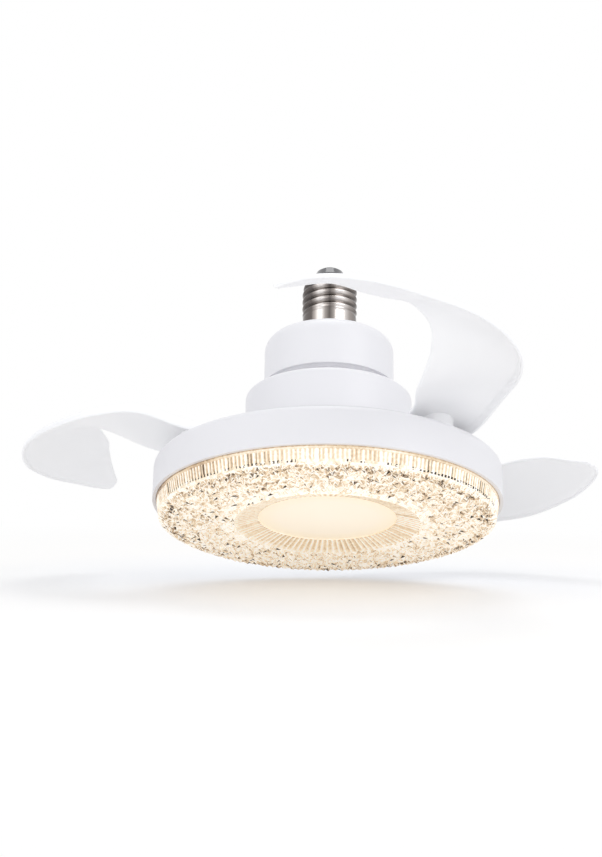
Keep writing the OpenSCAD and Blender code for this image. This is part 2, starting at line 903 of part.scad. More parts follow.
module pivot_pins() {
    color(steel)
        at_pivots()
            translate([0, 0, carrier_bottom]) {
                cylinder(r = pin_r, h = pin_head_bottom - carrier_bottom + eps);
                translate([0, 0, pin_head_bottom - carrier_bottom])
                    difference() {
                        cylinder(r = pin_head_r, h = pin_head_h);
                        translate([-pin_head_r, -0.5, pin_head_h - 0.6])
                            cube([2 * pin_head_r, 1, 1]);
                    }
            }
}

module pivot_bushes() {
    color([0.8, 0.65, 0.35])
        at_pivots()
            translate([0, 0, carrier_top])
                ring(bush_r, pin_r + press_gap, pin_head_bottom - carrier_top);
}

module thrust_washers() {
    color([0.2, 0.2, 0.2])
        at_pivots()
            translate([0, 0, carrier_top])
                ring(washer_r, bush_r + press_gap, washer_t);
}

module return_springs() {
    color(steel)
        at_pivots()
            translate([0, 0, carrier_top + washer_t])
                ring(groove_outer_r - spring_gap, groove_inner_r + spring_gap, groove_h - spring_gap);
}

// ---- Blades ----

// Width of the blade at t along its length, with a round root and tip
function width_at(t) =
    let (f = max(0, t - tip_start) / (1 - tip_start),
         g = max(0, root_end - t) / root_end)
    blade_w * spline(width_share, t) * sqrt(1 - tip_blunt * f * f) * sqrt(1 - (1 - root_share * root_share) * g * g);

// Radius of the outer edge at t, drawn in at the root and the tip
function edge_at(t) = blade_edge_r
    - (t < root_end ? root_outer_share : tip_outer_share) * (blade_w * spline(width_share, t) - width_at(t));

// Place along the blade of one ring, closer together at the root and the tip
function ring_place(i) = i / (rings - 1) - 0.11 * sin(360 * i / (rings - 1));

// Upper side of the blade's cross-section at t, as [radius, height], from the inner edge to the lip's end
function upper_side(t) =
    let (w = width_at(t),
         edge = edge_at(t),
         lip = min(lip_w, w * tip_lip_share),
         drop = lip_depth * lip / lip_w * (1 - 0.7 * t) * min(1, 0.35 + t / root_end / 2),
         share = t > tip_start ? w / (blade_w * spline(width_share, t)) : 1,
         out_at = 1 - tip_outer_share * (1 - share),
         low = blade_rise * spline(inner_rise, t),
         high = blade_rise * spline(outer_rise, t),
         z_in = low + (high - low) * (out_at - share),
         z_out = low + (high - low) * out_at,
         bow = blade_bow * min(1, w / (0.85 * blade_w)))
    concat(
        [for (k = [0 : sheet_steps])
            let (u = k / sheet_steps)
            [edge - lip - (w - lip) * (1 - u), z_in + (z_out - z_in) * u + 4 * bow * u * (1 - u)]],
        [for (k = [1 : lip_steps])
            let (a = 90 * k / lip_steps)
            [edge - lip + lip * sin(a), z_out - drop * (1 - cos(a))]]);

// Closed cross-section: the underside, one thickness below the upper side, then the upper side
function blade_section(t) =
    let (upper = upper_side(t),
         last = len(upper) - 1,
         thick = min(blade_t, width_at(t) * tip_thick_share))
    concat(
        [for (k = [0 : last])
            let (d = upper[min(k + 1, last)] - upper[max(k - 1, 0)],
                 n = [-d[1], d[0]] / norm(d))
            upper[k] - n * thick],
        [for (k = [0 : last]) upper[last - k]]);

module blade_sheet() {
    ring_size = 2 * (sheet_steps + lip_steps + 1);
    points = [for (i = [0 : rings - 1])
        let (t = ring_place(i),
             angle = blade_start - blade_sweep * t)
        for (p = blade_section(t))
            [arc_shift + p[0] * cos(angle), -arc_shift + p[0] * sin(angle), boss_bottom + p[1]]];
    polyhedron(points = points, faces = skin_faces(rings, ring_size));
}

// One blade, turned about its pivot from its folded place to the open one
module blade(number) {
    color(white)
        rotate([0, 0, first_pivot_angle - (number - 1) * 360 / blade_count])
            translate([pivot_r, 0, 0])
                rotate([0, 0, blade_swing])
                    difference() {
                        union() {
                            translate([-pivot_r, 0, 0])
                                blade_sheet();
                            translate([0, 0, boss_bottom])
                                cylinder(r = boss_r, h = boss_h);
                            translate([-lug_w / 2, 0, boss_bottom])
                                cube([lug_w, lug_length, lug_h]);
                        }
                        translate([0, 0, boss_bottom - eps])
                            cylinder(r = boss_bore_r, h = boss_h + 1);
                        translate([0, 0, boss_bottom - eps])
                            ring(groove_outer_r, groove_inner_r, groove_h + eps);
                        translate([0, 0, boss_top])
                            cylinder(r = pin_head_r + head_clearance, h = boss_h);
                    }
}

module blade_1() {
    blade(1);
}

module blade_2() {
    blade(2);
}

module blade_3() {
    blade(3);
}

// ---- Lamp ----

module at_clips() {
    for (k = [0 : clip_count - 1])
        rotate([0, 0, 30 + k * 360 / clip_count])
            translate([clip_screw_r, 0, 0])
                children();
}

module at_plate_screws() {
    for (k = [0 : screw_count - 1])
        rotate([0, 0, 90 + k * 360 / screw_count])
            translate([plate_screw_r, 0, 0])
                children();
}

module lamp_drum() {
    color(white)
        difference() {
            union() {
                translate([0, 0, drum_bottom])
                    difference() {
                        rotate_extrude()
                            intersection() {
                                housing_outline(drum_r, drum_h, drum_edge_r);
                                square([drum_r, drum_h]);
                            }
                        translate([0, 0, -eps])
                            rotate_extrude()
                                intersection() {
                                    housing_outline(drum_inner_r, drum_h - drum_wall + eps,
                                        drum_edge_r - drum_wall / 2);
                                    square([drum_r, drum_h]);
                                }
                    }
                translate([0, 0, flange_top])
                    ring(drum_inner_r + drum_wall / 2, drum_inner_r - ledge_w, ledge_t);
                at_clips()
                    translate([0, 0, clip_top])
                        cylinder(r = clip_boss_r, h = drum_top - drum_wall / 2 - clip_top);
                at_plate_screws()
                    translate([0, 0, heat_plate_top])
                        cylinder(r = plate_boss_r, h = drum_top - drum_wall / 2 - heat_plate_top);
            }
            translate([0, 0, drum_bottom])
                cylinder(r = shaft_r + press_gap, h = drum_h + 1);
            at_clips()
                translate([0, 0, clip_top - eps])
                    cylinder(d = screw_d, h = clip_screw_grip + 2);
            at_plate_screws()
                translate([0, 0, heat_plate_top - eps])
                    cylinder(d = screw_d, h = plate_screw_grip + 1);
        }
}

module lower_shaft_nut() {
    color(steel)
        translate([0, 0, drum_top - drum_wall - nut_h])
            hex_nut();
}

module heat_plate() {
    color([0.75, 0.76, 0.78])
        translate([0, 0, heat_plate_bottom])
            difference() {
                ring(heat_plate_r, plate_hole_r, heat_plate_t);
                at_plate_screws()
                    translate([0, 0, -eps])
                        cylinder(d = screw_d + 0.3, h = heat_plate_t + 1);
            }
}

module led_board() {
    color([0.92, 0.92, 0.9])
        translate([0, 0, led_board_bottom])
            difference() {
                ring(led_board_r, plate_hole_r, board_t);
                at_plate_screws()
                    translate([0, 0, -eps])
                        cylinder(d = screw_d + 0.3, h = board_t + 1);
            }
}

module led_chips() {
    rows = [[led_ring_r, led_count], [led_inner_ring_r, led_inner_count]];
    color([0.98, 0.85, 0.4])
        for (row = rows)
            for (k = [0 : row[1] - 1])
                rotate([0, 0, k * 360 / row[1]])
                    translate([row[0] - led_size / 2, -led_size / 2, led_board_bottom - led_h])
                        cube([led_size, led_size, led_h]);
}

module plate_screws() {
    color(steel)
        at_plate_screws()
            translate([0, 0, led_board_bottom])
                screw(board_t + heat_plate_t + plate_screw_grip);
}

module crystal_diffuser() {
    top = flange_top - diffuser_bottom;
    lower_r = diffuser_r - diffuser_draft;
    seat_r = opal_r + opal_seat;
    color(clear_warm)
        translate([0, 0, diffuser_bottom])
            rotate_extrude()
                difference() {
                    union() {
                        polygon([[cone_r, 0], [lower_r - diffuser_edge_r, 0],
                            [lower_r, diffuser_edge_r], [diffuser_r, diffuser_drop],
                            [diffuser_r, top], [diffuser_r - flange_w, top],
                            [diffuser_r - flange_w, top - flange_t],
                            [diffuser_r - diffuser_wall, top - flange_t],
                            [diffuser_r - diffuser_wall, diffuser_drop],
                            [lower_r - diffuser_wall, diffuser_floor + 1],
                            [lower_r - diffuser_wall - 1, diffuser_floor],
                            [cone_r + 2, diffuser_floor],
                            [seat_r + 1.5, opal_lift + opal_t], [seat_r, opal_lift + opal_t],
                            [seat_r, opal_lift], [opal_r, opal_lift],
                            [opal_r, opal_lift - cone_edge_t]]);
                        translate([lower_r - diffuser_edge_r, diffuser_edge_r])
                            circle(r = diffuser_edge_r);
                    }
                }
}

module opal_disc() {
    color([0.99, 0.95, 0.86])
        translate([0, 0, opal_bottom])
            cylinder(r = opal_r + opal_seat - 0.1, h = opal_t);
}

module diffuser_clips() {
    color(steel)
        at_clips()
            difference() {
                translate([-clip_boss_r, -clip_w / 2, clip_top - clip_t])
                    cube([clip_boss_r + clip_boss_r + 1.5 + clip_reach, clip_w, clip_t]);
                translate([0, 0, clip_top - clip_t - 1])
                    cylinder(d = screw_d + 0.3, h = clip_t + 2);
            }
}

module clip_screws() {
    color(steel)
        at_clips()
            translate([0, 0, clip_top - clip_t])
                screw(clip_t + clip_screw_grip);
}

screw_shell();
cap_insulator();
centre_contact();
driver_housing();
housing_base();
base_screws();
driver_board();
driver_transformer();
driver_capacitor();
receiver_board();
upper_shaft_nut();
motor_shaft();
bearing_inner_races();
bearing_balls();
bearing_outer_races();
stator_core();
stator_windings();
rotor_cup();
rotor_magnets();
cup_screws();
motor_cover();
cover_screws();
blade_carrier();
pivot_pins();
pivot_bushes();
thrust_washers();
return_springs();
blade_1();
blade_2();
blade_3();
lamp_drum();
lower_shaft_nut();
heat_plate();
led_board();
led_chips();
plate_screws();
crystal_diffuser();
opal_disc();
diffuser_clips();
clip_screws();
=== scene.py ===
import math
import random

import bpy
from mathutils import Matrix, Vector
from mathutils.geometry import delaunay_2d_cdt


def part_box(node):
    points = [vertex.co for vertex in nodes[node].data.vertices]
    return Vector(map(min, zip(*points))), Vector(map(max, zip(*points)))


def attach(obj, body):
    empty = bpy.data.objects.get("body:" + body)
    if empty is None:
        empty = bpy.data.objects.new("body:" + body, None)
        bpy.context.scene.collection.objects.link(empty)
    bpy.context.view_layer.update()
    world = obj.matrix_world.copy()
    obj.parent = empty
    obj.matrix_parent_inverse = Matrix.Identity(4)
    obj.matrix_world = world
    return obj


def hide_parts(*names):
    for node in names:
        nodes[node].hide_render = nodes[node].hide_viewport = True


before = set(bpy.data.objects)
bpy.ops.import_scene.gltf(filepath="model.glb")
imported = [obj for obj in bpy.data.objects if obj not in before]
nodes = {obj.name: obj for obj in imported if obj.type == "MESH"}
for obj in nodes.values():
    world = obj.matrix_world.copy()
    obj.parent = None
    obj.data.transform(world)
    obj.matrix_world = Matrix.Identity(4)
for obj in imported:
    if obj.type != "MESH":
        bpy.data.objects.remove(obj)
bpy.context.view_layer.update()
MM = 0.001
TURN = 2 * math.pi
rng = random.Random(7)


# ---------- mesh helpers ----------

def link_new(name, data):
    """New object with this data, in the scene."""
    obj = bpy.data.objects.new(name, data)
    bpy.context.scene.collection.objects.link(obj)
    return obj


def shade(mesh, sharp_deg):
    """Smooth shading, but sharp where faces meet at more than this angle."""
    mesh.shade_smooth()
    mesh.set_sharp_from_angle(angle=math.radians(sharp_deg))


def make_object(name, verts, faces, smooth=True, sharp_deg=35):
    mesh = bpy.data.meshes.new(name)
    mesh.from_pydata([tuple(v) for v in verts], [], faces)
    mesh.validate()
    mesh.update()
    if smooth:
        shade(mesh, sharp_deg)
    return link_new(name, mesh)


def grid_faces(rows, cols, wrap_rows=False, flip=False):
    """Quads between closed rings of cols points. With wrap_rows the last ring meets the first one."""
    faces = []
    for i in range(rows if wrap_rows else rows - 1):
        here, beyond = i * cols, (i + 1) % rows * cols
        for j in range(cols):
            k = (j + 1) % cols
            a, b, c, d = here + j, here + k, beyond + k, beyond + j
            faces.append((a, d, c, b) if flip else (a, b, c, d))
    return faces


def polar(r, a, z):
    """Point in metres, from a radius and a height in millimetres and an angle."""
    return (r * math.cos(a) * MM, r * math.sin(a) * MM, z * MM)


def clamp(value):
    return min(1.0, max(0.0, value))


def top_z(name):
    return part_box(name)[1].z / MM


def low_z(name):
    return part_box(name)[0].z / MM


# ---------- shader helpers ----------

def new_material(name):
    mat = bpy.data.materials.new(name)
    mat.use_nodes = True
    tree = mat.node_tree
    return mat, tree, tree.nodes["Principled BSDF"]


def node(tree, kind, **inputs):
    """New shader node. In the names of its inputs _ stands for a space."""
    n = tree.nodes.new(kind)
    for key, value in inputs.items():
        n.inputs[key.replace("_", " ")].default_value = value
    return n


def ramp(tree, source, stops):
    r = tree.nodes.new("ShaderNodeValToRGB")
    while len(r.color_ramp.elements) < len(stops):
        r.color_ramp.elements.new(0.5)
    for e, (p, c) in zip(r.color_ramp.elements, stops):
        e.position = p
        e.color = (*c, 1)
    tree.links.new(source, r.inputs["Fac"])
    return r.outputs["Color"]


def math_node(tree, op, a, b=None):
    n = tree.nodes.new("ShaderNodeMath")
    n.operation = op
    for i, v in enumerate((a, b)):
        if v is None:
            continue
        if isinstance(v, (int, float)):
            n.inputs[i].default_value = v
        else:
            tree.links.new(v, n.inputs[i])
    return n.outputs[0]


def scaled(tree, source, gain, offset):
    return math_node(tree, "ADD", math_node(tree, "MULTIPLY", source, gain), offset)


def mix_rgb(tree, fac, a, b, kind="MIX"):
    n = tree.nodes.new("ShaderNodeMix")
    n.data_type = "RGBA"
    n.blend_type = kind
    for i, v in ((0, fac), (6, a), (7, b)):
        if isinstance(v, (int, float)):
            n.inputs[i].default_value = v
        elif isinstance(v, tuple):
            n.inputs[i].default_value = (*v, 1)
        else:
            tree.links.new(v, n.inputs[i])
    return n.outputs[2]


def mix_shader(tree, fac, a, b):
    """Shader a where fac is 0, and b where it is 1."""
    n = tree.nodes.new("ShaderNodeMixShader")
    for i, v in enumerate((fac, a, b)):
        tree.links.new(v, n.inputs[i])
    return n.outputs[0]


def coords(tree):
    return tree.nodes.new("ShaderNodeTexCoord").outputs["Object"]


def axis_distance(tree, vector):
    """x, y and the distance from the lamp's axis."""
    sep = tree.nodes.new("ShaderNodeSeparateXYZ")
    tree.links.new(vector, sep.inputs["Vector"])
    x, y = sep.outputs[:2]
    squares = [math_node(tree, "MULTIPLY", v, v) for v in (x, y)]
    return x, y, math_node(tree, "SQRT", math_node(tree, "ADD", *squares))


def seen_directly(tree):
    """1 for the camera and for what gloss and clear pieces show, 0 for rays that only carry light."""
    path = tree.nodes.new("ShaderNodeLightPath")
    second = math_node(tree, "MAXIMUM", path.outputs["Is Glossy Ray"], path.outputs["Is Transmission Ray"])
    return math_node(tree, "MAXIMUM", path.outputs["Is Camera Ray"], second)


def noise(tree, vector, scale, detail, rough=0.5):
    n = node(tree, "ShaderNodeTexNoise", Scale=scale, Detail=detail, Roughness=rough)
    tree.links.new(vector, n.inputs["Vector"])
    return n.outputs["Fac"]


def bump(tree, bsdf, height, strength, distance):
    b = node(tree, "ShaderNodeBump", Strength=strength, Distance=distance)
    tree.links.new(height, b.inputs["Height"])
    tree.links.new(b.outputs["Normal"], bsdf.inputs["Normal"])


# ---------- materials ----------

def moulded(name, color, rough, spread, grain, coat=0.0, glow=0.0):
    """Moulded plastic or paint: faint colour drift, uneven gloss, a fine grain and, with glow, a painted
    glow in the paint's own colour.
    """
    mat, tree, bsdf = new_material(name)
    v = coords(tree)
    low = tuple(max(0.0, c - spread) for c in color)
    high = tuple(min(1.0, c + spread) for c in color)
    paint = ramp(tree, noise(tree, v, 28.0, 2.0), [(0.3, low), (0.7, high)])
    tree.links.new(paint, bsdf.inputs["Base Color"])
    # painted glow: the paint gives off its own colour, as if lit
    if glow:
        tree.links.new(paint, bsdf.inputs["Emission Color"])
        bsdf.inputs["Emission Strength"].default_value = glow
    gloss = noise(tree, v, 160.0, 4.0)
    tree.links.new(scaled(tree, gloss, 0.1, rough - 0.05), bsdf.inputs["Roughness"])
    bump(tree, bsdf, noise(tree, v, 2600.0, 2.0), grain, 0.00006)
    bsdf.inputs["Coat Weight"].default_value = coat
    bsdf.inputs["Coat Roughness"].default_value = 0.12
    return mat


def metal(name, color, rough, stretch=(1, 1, 14), scale=220.0, dark=0.78):
    """Metal with drawn or turned lines and uneven shine."""
    mat, tree, bsdf = new_material(name)
    mapping = node(tree, "ShaderNodeMapping", Scale=stretch)
    tree.links.new(coords(tree), mapping.inputs["Vector"])
    lines = noise(tree, mapping.outputs["Vector"], scale, 5.0, 0.6)
    shades = ramp(tree, lines, [(0.3, tuple(c * dark for c in color)), (0.7, color)])
    tree.links.new(shades, bsdf.inputs["Base Color"])
    tree.links.new(scaled(tree, lines, 0.16, rough - 0.08), bsdf.inputs["Roughness"])
    bsdf.inputs["Metallic"].default_value = 1.0
    bump(tree, bsdf, lines, 0.12, 0.00008)
    return mat


def plated(name):
    """Rolled nickel shell with painted reflections: light and dark stripes round it, painted shade in the
    grooves, and fine turned lines.
    """
    mat, tree, bsdf = new_material(name)
    v = coords(tree)
    x, y, radius = axis_distance(tree, v)
    angle = math_node(tree, "ARCTAN2", x, math_node(tree, "MULTIPLY", y, -1.0))
    # painted reflections of the studio: dark, mid and pale stripes by the angle round the axis
    dark, mid, pale = (0.11, 0.095, 0.09), (0.37, 0.335, 0.315), (0.83, 0.79, 0.77)
    painted_reflections = ramp(tree, scaled(tree, angle, 0.5 / math.pi, 0.5), [
        (0.0, mid), (0.1, pale), (0.2, mid), (0.3, dark), (0.385, dark), (0.41, mid),
        (0.43, pale), (0.455, pale), (0.475, mid), (0.5, dark), (0.525, mid), (0.545, pale),
        (0.585, pale), (0.63, mid), (0.7, dark), (0.8, mid), (0.9, pale),
    ])
    # painted shade in the thread's grooves: darker nearer the axis
    above_groove = math_node(tree, "SUBTRACT", radius, 0.0118)
    painted_groove_shade = ramp(tree, math_node(tree, "MULTIPLY", above_groove, 600.0),
                  [(0.25, (0.3, 0.28, 0.27)), (0.62, (1, 1, 1))])
    both = mix_rgb(tree, 1.0, painted_reflections, painted_groove_shade, "MULTIPLY")
    lines = noise(tree, v, 900.0, 4.0)
    worn = mix_rgb(tree, math_node(tree, "MULTIPLY", lines, 0.2), both, mid)
    tree.links.new(worn, bsdf.inputs["Base Color"])
    bsdf.inputs["Metallic"].default_value = 1.0
    tree.links.new(scaled(tree, lines, 0.1, 0.16), bsdf.inputs["Roughness"])
    return mat


def circuit(name, color, track):
    """Printed board with faint tracks under its mask."""
    mat, tree, bsdf = new_material(name)
    brick = node(tree, "ShaderNodeTexBrick", Scale=420.0, Mortar_Size=0.04, Color1=(*color, 1),
                 Color2=(*[c * 0.8 for c in color], 1), Mortar=(*track, 1))
    tree.links.new(coords(tree), brick.inputs["Vector"])
    tree.links.new(brick.outputs["Color"], bsdf.inputs["Base Color"])
    bsdf.inputs["Roughness"].default_value = 0.35
    bump(tree, bsdf, brick.outputs["Fac"], 0.2, 0.00005)
    return mat


def windings(name, color):
    """Close turns of enamelled wire."""
    mat, tree, bsdf = new_material(name)
    wave = node(tree, "ShaderNodeTexWave", Scale=520.0, Distortion=0.6, Detail=1.0)
    wave.bands_direction = "Z"
    tree.links.new(coords(tree), wave.inputs["Vector"])
    shades = ramp(tree, wave.outputs["Fac"], [(0.0, tuple(c * 0.45 for c in color)), (1.0, color)])
    tree.links.new(shades, bsdf.inputs["Base Color"])
    bsdf.inputs["Metallic"].default_value = 0.8
    bsdf.inputs["Roughness"].default_value = 0.3
    bump(tree, bsdf, wave.outputs["Fac"], 0.6, 0.0002)
    return mat


# tone, the colour of the light that a facet of this tone gives off, and the colour of its surface; the
# tones are painted light, from a painted dark glint at 0 to a painted white glint at 1
CRYSTAL_TONES = [
    (0.0, (0.02, 0.014, 0.01), (0.02, 0.014, 0.01)),
    (0.14, (0.16, 0.11, 0.07), (0.13, 0.09, 0.06)),
    (0.3, (0.55, 0.39, 0.25), (0.45, 0.32, 0.21)),
    (0.48, (0.76, 0.59, 0.4), (0.63, 0.49, 0.33)),
    (0.66, (0.9, 0.765, 0.58), (0.75, 0.63, 0.47)),
    (0.82, (0.965, 0.87, 0.72), (0.83, 0.74, 0.61)),
    (0.96, (1.0, 0.975, 0.92), (0.9, 0.87, 0.81)),
]
# facets below this tone are painted dark glints
DARK_BELOW = 0.2  # a facet with less tone than this is dark all over
# scale of the cells between cut lines, the lines' width and what they add to the tone: a painted highlight
# along the bright lines and painted shade along the dark ones
PAINTED_CUT_LINES = ((230.0, 0.05, 0.4), (140.0, 0.035, -0.25))


def crystal(name, cuts_shown):
    """Clear cut acrylic lit from inside, where each facet has a tone of its own: painted light, which
    stands for its glints, reflections and the lamp's light through it.

    Fine cells, painted shading by the facet's lean toward a fixed direction and, if they are shown, painted
    bright and dark cut lines change the tone.
    """
    mat, tree, bsdf = new_material(name)
    v = coords(tree)
    tone = tree.nodes.new("ShaderNodeAttribute")
    tone.attribute_name = "tone"
    fine = node(tree, "ShaderNodeTexVoronoi", Scale=950.0)
    tree.links.new(v, fine.inputs["Vector"])
    split = tree.nodes.new("ShaderNodeSeparateColor")
    tree.links.new(fine.outputs["Color"], split.inputs["Color"])
    jitter = math_node(tree, "MULTIPLY", math_node(tree, "SUBTRACT", split.outputs[0], 0.5), 0.2)
    # painted shading: facets that lean toward a fixed direction are lighter, as if lit from there
    painted_light_side = tree.nodes.new("ShaderNodeVectorMath")
    painted_light_side.operation = "DOT_PRODUCT"
    painted_light_side.inputs[1].default_value = (0.5, -0.6, 0.3)
    geometry = tree.nodes.new("ShaderNodeNewGeometry")
    tree.links.new(geometry.outputs["True Normal"], painted_light_side.inputs[0])
    lean = math_node(tree, "MULTIPLY", painted_light_side.outputs["Value"], 0.22)
    bright = math_node(tree, "GREATER_THAN", tone.outputs["Fac"], DARK_BELOW)
    change = math_node(tree, "MULTIPLY", math_node(tree, "ADD", jitter, lean), bright)
    total = math_node(tree, "ADD", tone.outputs["Fac"], change)
    for cell_scale, width, lift in PAINTED_CUT_LINES if cuts_shown else ():
        cuts = node(tree, "ShaderNodeTexVoronoi", Scale=cell_scale)
        cuts.feature = "DISTANCE_TO_EDGE"
        tree.links.new(v, cuts.inputs["Vector"])
        line = math_node(tree, "LESS_THAN", cuts.outputs["Distance"], width)
        change = math_node(tree, "MULTIPLY", math_node(tree, "MULTIPLY", line, bright), lift)
        total = math_node(tree, "ADD", total, change)
    given_off = ramp(tree, total, [(at, lit) for at, lit, surface in CRYSTAL_TONES])
    reflected = ramp(tree, total, [(at, surface) for at, lit, surface in CRYSTAL_TONES])
    tree.links.new(reflected, bsdf.inputs["Base Color"])
    # painted glow: the lamp's light through the facets, with their glints and reflections, in the colours
    # that the tone gives
    tree.links.new(given_off, bsdf.inputs["Emission Color"])
    bsdf.inputs["Emission Strength"].default_value = 0.3
    bsdf.inputs["Roughness"].default_value = 0.15
    bsdf.inputs["Specular IOR Level"].default_value = 0.25
    return mat


def lit_opal(name):
    """Opal disc with the light on behind it: palest in the middle and warmer toward its edge."""
    mat, tree, bsdf = new_material(name)
    v = coords(tree)
    radius = axis_distance(tree, v)[2]
    glow = ramp(tree, math_node(tree, "MULTIPLY", radius, 25.0),
                [(0.0, (0.99, 0.935, 0.83)), (0.55, (0.985, 0.905, 0.78)), (0.85, (0.97, 0.86, 0.68))])
    grain = noise(tree, v, 900.0, 2.0)
    color = mix_rgb(tree, math_node(tree, "MULTIPLY", grain, 0.05), glow, (1.0, 0.97, 0.9))
    tree.links.new(color, bsdf.inputs["Emission Color"])
    tree.links.new(color, bsdf.inputs["Base Color"])
    bsdf.inputs["Emission Strength"].default_value = 0.25
    bsdf.inputs["Roughness"].default_value = 0.45
    return mat


# moulded: name, colour, roughness, spread of the colour, strength of the grain, then the coat and a painted
# glow where given
body_white = moulded("body_white", (0.83, 0.825, 0.85), 0.4, 0.006, 0.12)
# the body's white painted lighter here, to cancel the shade in the recess between the housing's tiers
neck_white_painted_lighter = moulded("neck_white_painted_lighter", (0.93, 0.925, 0.945), 0.42, 0.006, 0.12)
# the blades' faint glow is painted light, which lifts their shaded undersides
blade_white = moulded("blade_white", (0.93, 0.93, 0.942), 0.33, 0.005, 0.08, coat=0.1, glow=0.05)
carrier_white = moulded("carrier_white", (0.8, 0.8, 0.82), 0.45, 0.01, 0.2)
insulator = moulded("dark_insulator", (0.0725, 0.0725, 0.0798), 0.2, 0.01, 0.05, coat=0.6)
magnet = moulded("magnet_grey", (0.16, 0.16, 0.17), 0.55, 0.02, 0.3)
washer = moulded("washer_dark", (0.06, 0.06, 0.065), 0.5, 0.01, 0.2)
part_dark = moulded("component_dark", (0.07, 0.075, 0.09), 0.4, 0.02, 0.2)
capacitor = moulded("capacitor_blue", (0.04, 0.07, 0.22), 0.3, 0.01, 0.1, coat=0.4)
led = moulded("led_phosphor", (0.95, 0.75, 0.25), 0.35, 0.05, 0.2)
# metal: name, colour, roughness, stretch and scale of its lines, share of the colour left in dark lines
tin = metal("tin_contact", (0.27, 0.27, 0.275), 0.35, (1, 1, 1), 700.0)
zinc = metal("zinc_steel", (0.66, 0.67, 0.69), 0.32)
bearing = metal("bearing_steel", (0.75, 0.76, 0.78), 0.16, (1, 1, 20))
lamination = metal("core_laminations", (0.36, 0.36, 0.38), 0.45, (0.2, 0.2, 30), 260.0, 0.55)
brass = metal("bush_bronze", (0.74, 0.55, 0.26), 0.35)
alu = metal("plain_aluminium", (0.78, 0.79, 0.8), 0.35, (14, 1, 1), 160.0)
nickel = plated("nickel")
copper = windings("copper_wire", (0.75, 0.36, 0.18))
board = circuit("driver_board_green", (0.03, 0.2, 0.08), (0.12, 0.33, 0.12))
led_board = circuit("led_board_white", (0.8, 0.8, 0.78), (0.7, 0.68, 0.6))
crystal_warm = crystal("crystal_warm", cuts_shown=False)
crystal_cut = crystal("crystal_cut", cuts_shown=True)
opal = lit_opal("opal_lit")

# every node that isn't named here is zinc plated steel
BY_NODE = {
    "cap_insulator": insulator, "centre_contact": tin,
    "driver_housing": body_white, "housing_base": neck_white_painted_lighter, "motor_cover": body_white,
    "lamp_drum": body_white, "driver_board": board, "receiver_board": board,
    "driver_transformer": part_dark, "driver_capacitor": capacitor,
    "bearing_inner_races": bearing, "bearing_outer_races": bearing, "bearing_balls": bearing,
    "stator_core": lamination, "stator_windings": copper, "rotor_magnets": magnet,
    "blade_carrier": carrier_white, "pivot_pins": bearing, "pivot_bushes": brass,
    "thrust_washers": washer, "heat_plate": alu, "led_board": led_board, "led_chips": led,
    "opal_disc": opal, "diffuser_clips": bearing,
}
for name, obj in nodes.items():
    obj.data.materials.clear()
    obj.data.materials.append(BY_NODE.get(name, zinc))


# ---------- screw thread ----------

def thread_piece():
    """Threaded shell: a plain skirt, turns of rounded thread and a crown that draws in at the top."""
    foot = low_z("screw_shell")
    crest, root, pitch, turns = 13.2, 12.2, 3.63, 5
    skirt, crown, crown_r = 5.5, 2.35, 8.5
    skirt_share, edge_break = 0.7, 0.12
    neck_r, bore_r = 7.5, 11.6
    cols, steps = 144, 180
    thread = turns * pitch
    heights = [0.0, 0.15, skirt * 0.5, skirt - 0.4]
    heights += [skirt + thread * i / steps for i in range(steps + 1)]
    heights += [skirt + thread + crown * f for f in (0.15, 0.3, 0.45, 0.6, 0.72, 0.83, 0.91, 0.97, 1.0)]

    def radius(h, a):
        up = h - skirt
        drawn_in = max(0.0, up - thread) / crown
        if drawn_in > 0:
            return root - (root - crown_r) * (1 - math.sqrt(max(0.0, 1 - min(1, drawn_in) ** 2)))
        fade = min(1.0, max(0.0, up) / pitch, max(0.0, thread - up) / pitch)
        wave = (1 + math.cos(TURN * up / pitch - a)) / 2
        lead = skirt_share if up < 0 else (skirt_share * (1 - fade) if up < thread / 2 else 0)
        return root + (crest - root) * (lead + (fade * wave if up >= 0 else 0))

    verts = []
    for h in heights:
        for j in range(cols):
            a = TURN * j / cols
            verts.append(polar(radius(h, a) - (edge_break if h == 0 else 0), a, foot + h))
    bore = [(neck_r, heights[-1]), (neck_r, skirt + thread), (bore_r, skirt + thread), (bore_r, 0.0)]
    verts += [polar(r, TURN * j / cols, foot + h) for r, h in bore for j in range(cols)]
    faces = grid_faces(len(heights) + len(bore), cols, wrap_rows=True)
    obj = make_object("thread_shell", verts, faces)
    obj.data.materials.append(nickel)
    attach(obj, "lamp")
    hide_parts("screw_shell")


thread_piece()


# ---------- blades ----------

# From root to tip in even steps: the rise of both edges as shares of RISE, the width as shares of WIDTH
OUTER_RISE = [0.133, 0.22, 0.456, 0.468, 0.441, 0.449, 0.475, 0.493, 0.577, 0.634, 0.597]
INNER_RISE = [0.113, 0.14, 0.238, 0.383, 0.584, 0.803, 0.978, 0.98, 0.985, 0.985, 0.825]
WIDTH_SHARE = [0.786, 0.869, 0.99, 0.978, 0.896, 0.816, 0.842, 0.888, 0.855, 0.699, 0.526]
RISE, WIDTH = 30, 42.6
# Arc of the outer edge when folded: its radius, its centre's shift along +x and -y, first angle, sweep
EDGE_R, SHIFT, START, SWEEP = 75, 5, 15, 170
# Pivots: their distance from the axis, the first one's angle, and how far the blades swing out
PIVOT_R, FIRST_ANGLE, SWING = 63, -41, 81
# Sheet: its thickness and the share of the width this may reach, its bow and the width for all of it
THICK, THICK_SHARE, BOW, BOW_FROM = 1.5, 0.2, 2.2, 0.85
# Lip: its drop and width, the share of a narrow sheet it may take, how much of the drop there is at the
# root, and how much of it is gone by the tip
LIP_DEPTH, LIP_W, LIP_SHARE, LIP_START, LIP_FADE = 5, 3, 0.45, 0.35, 0.7
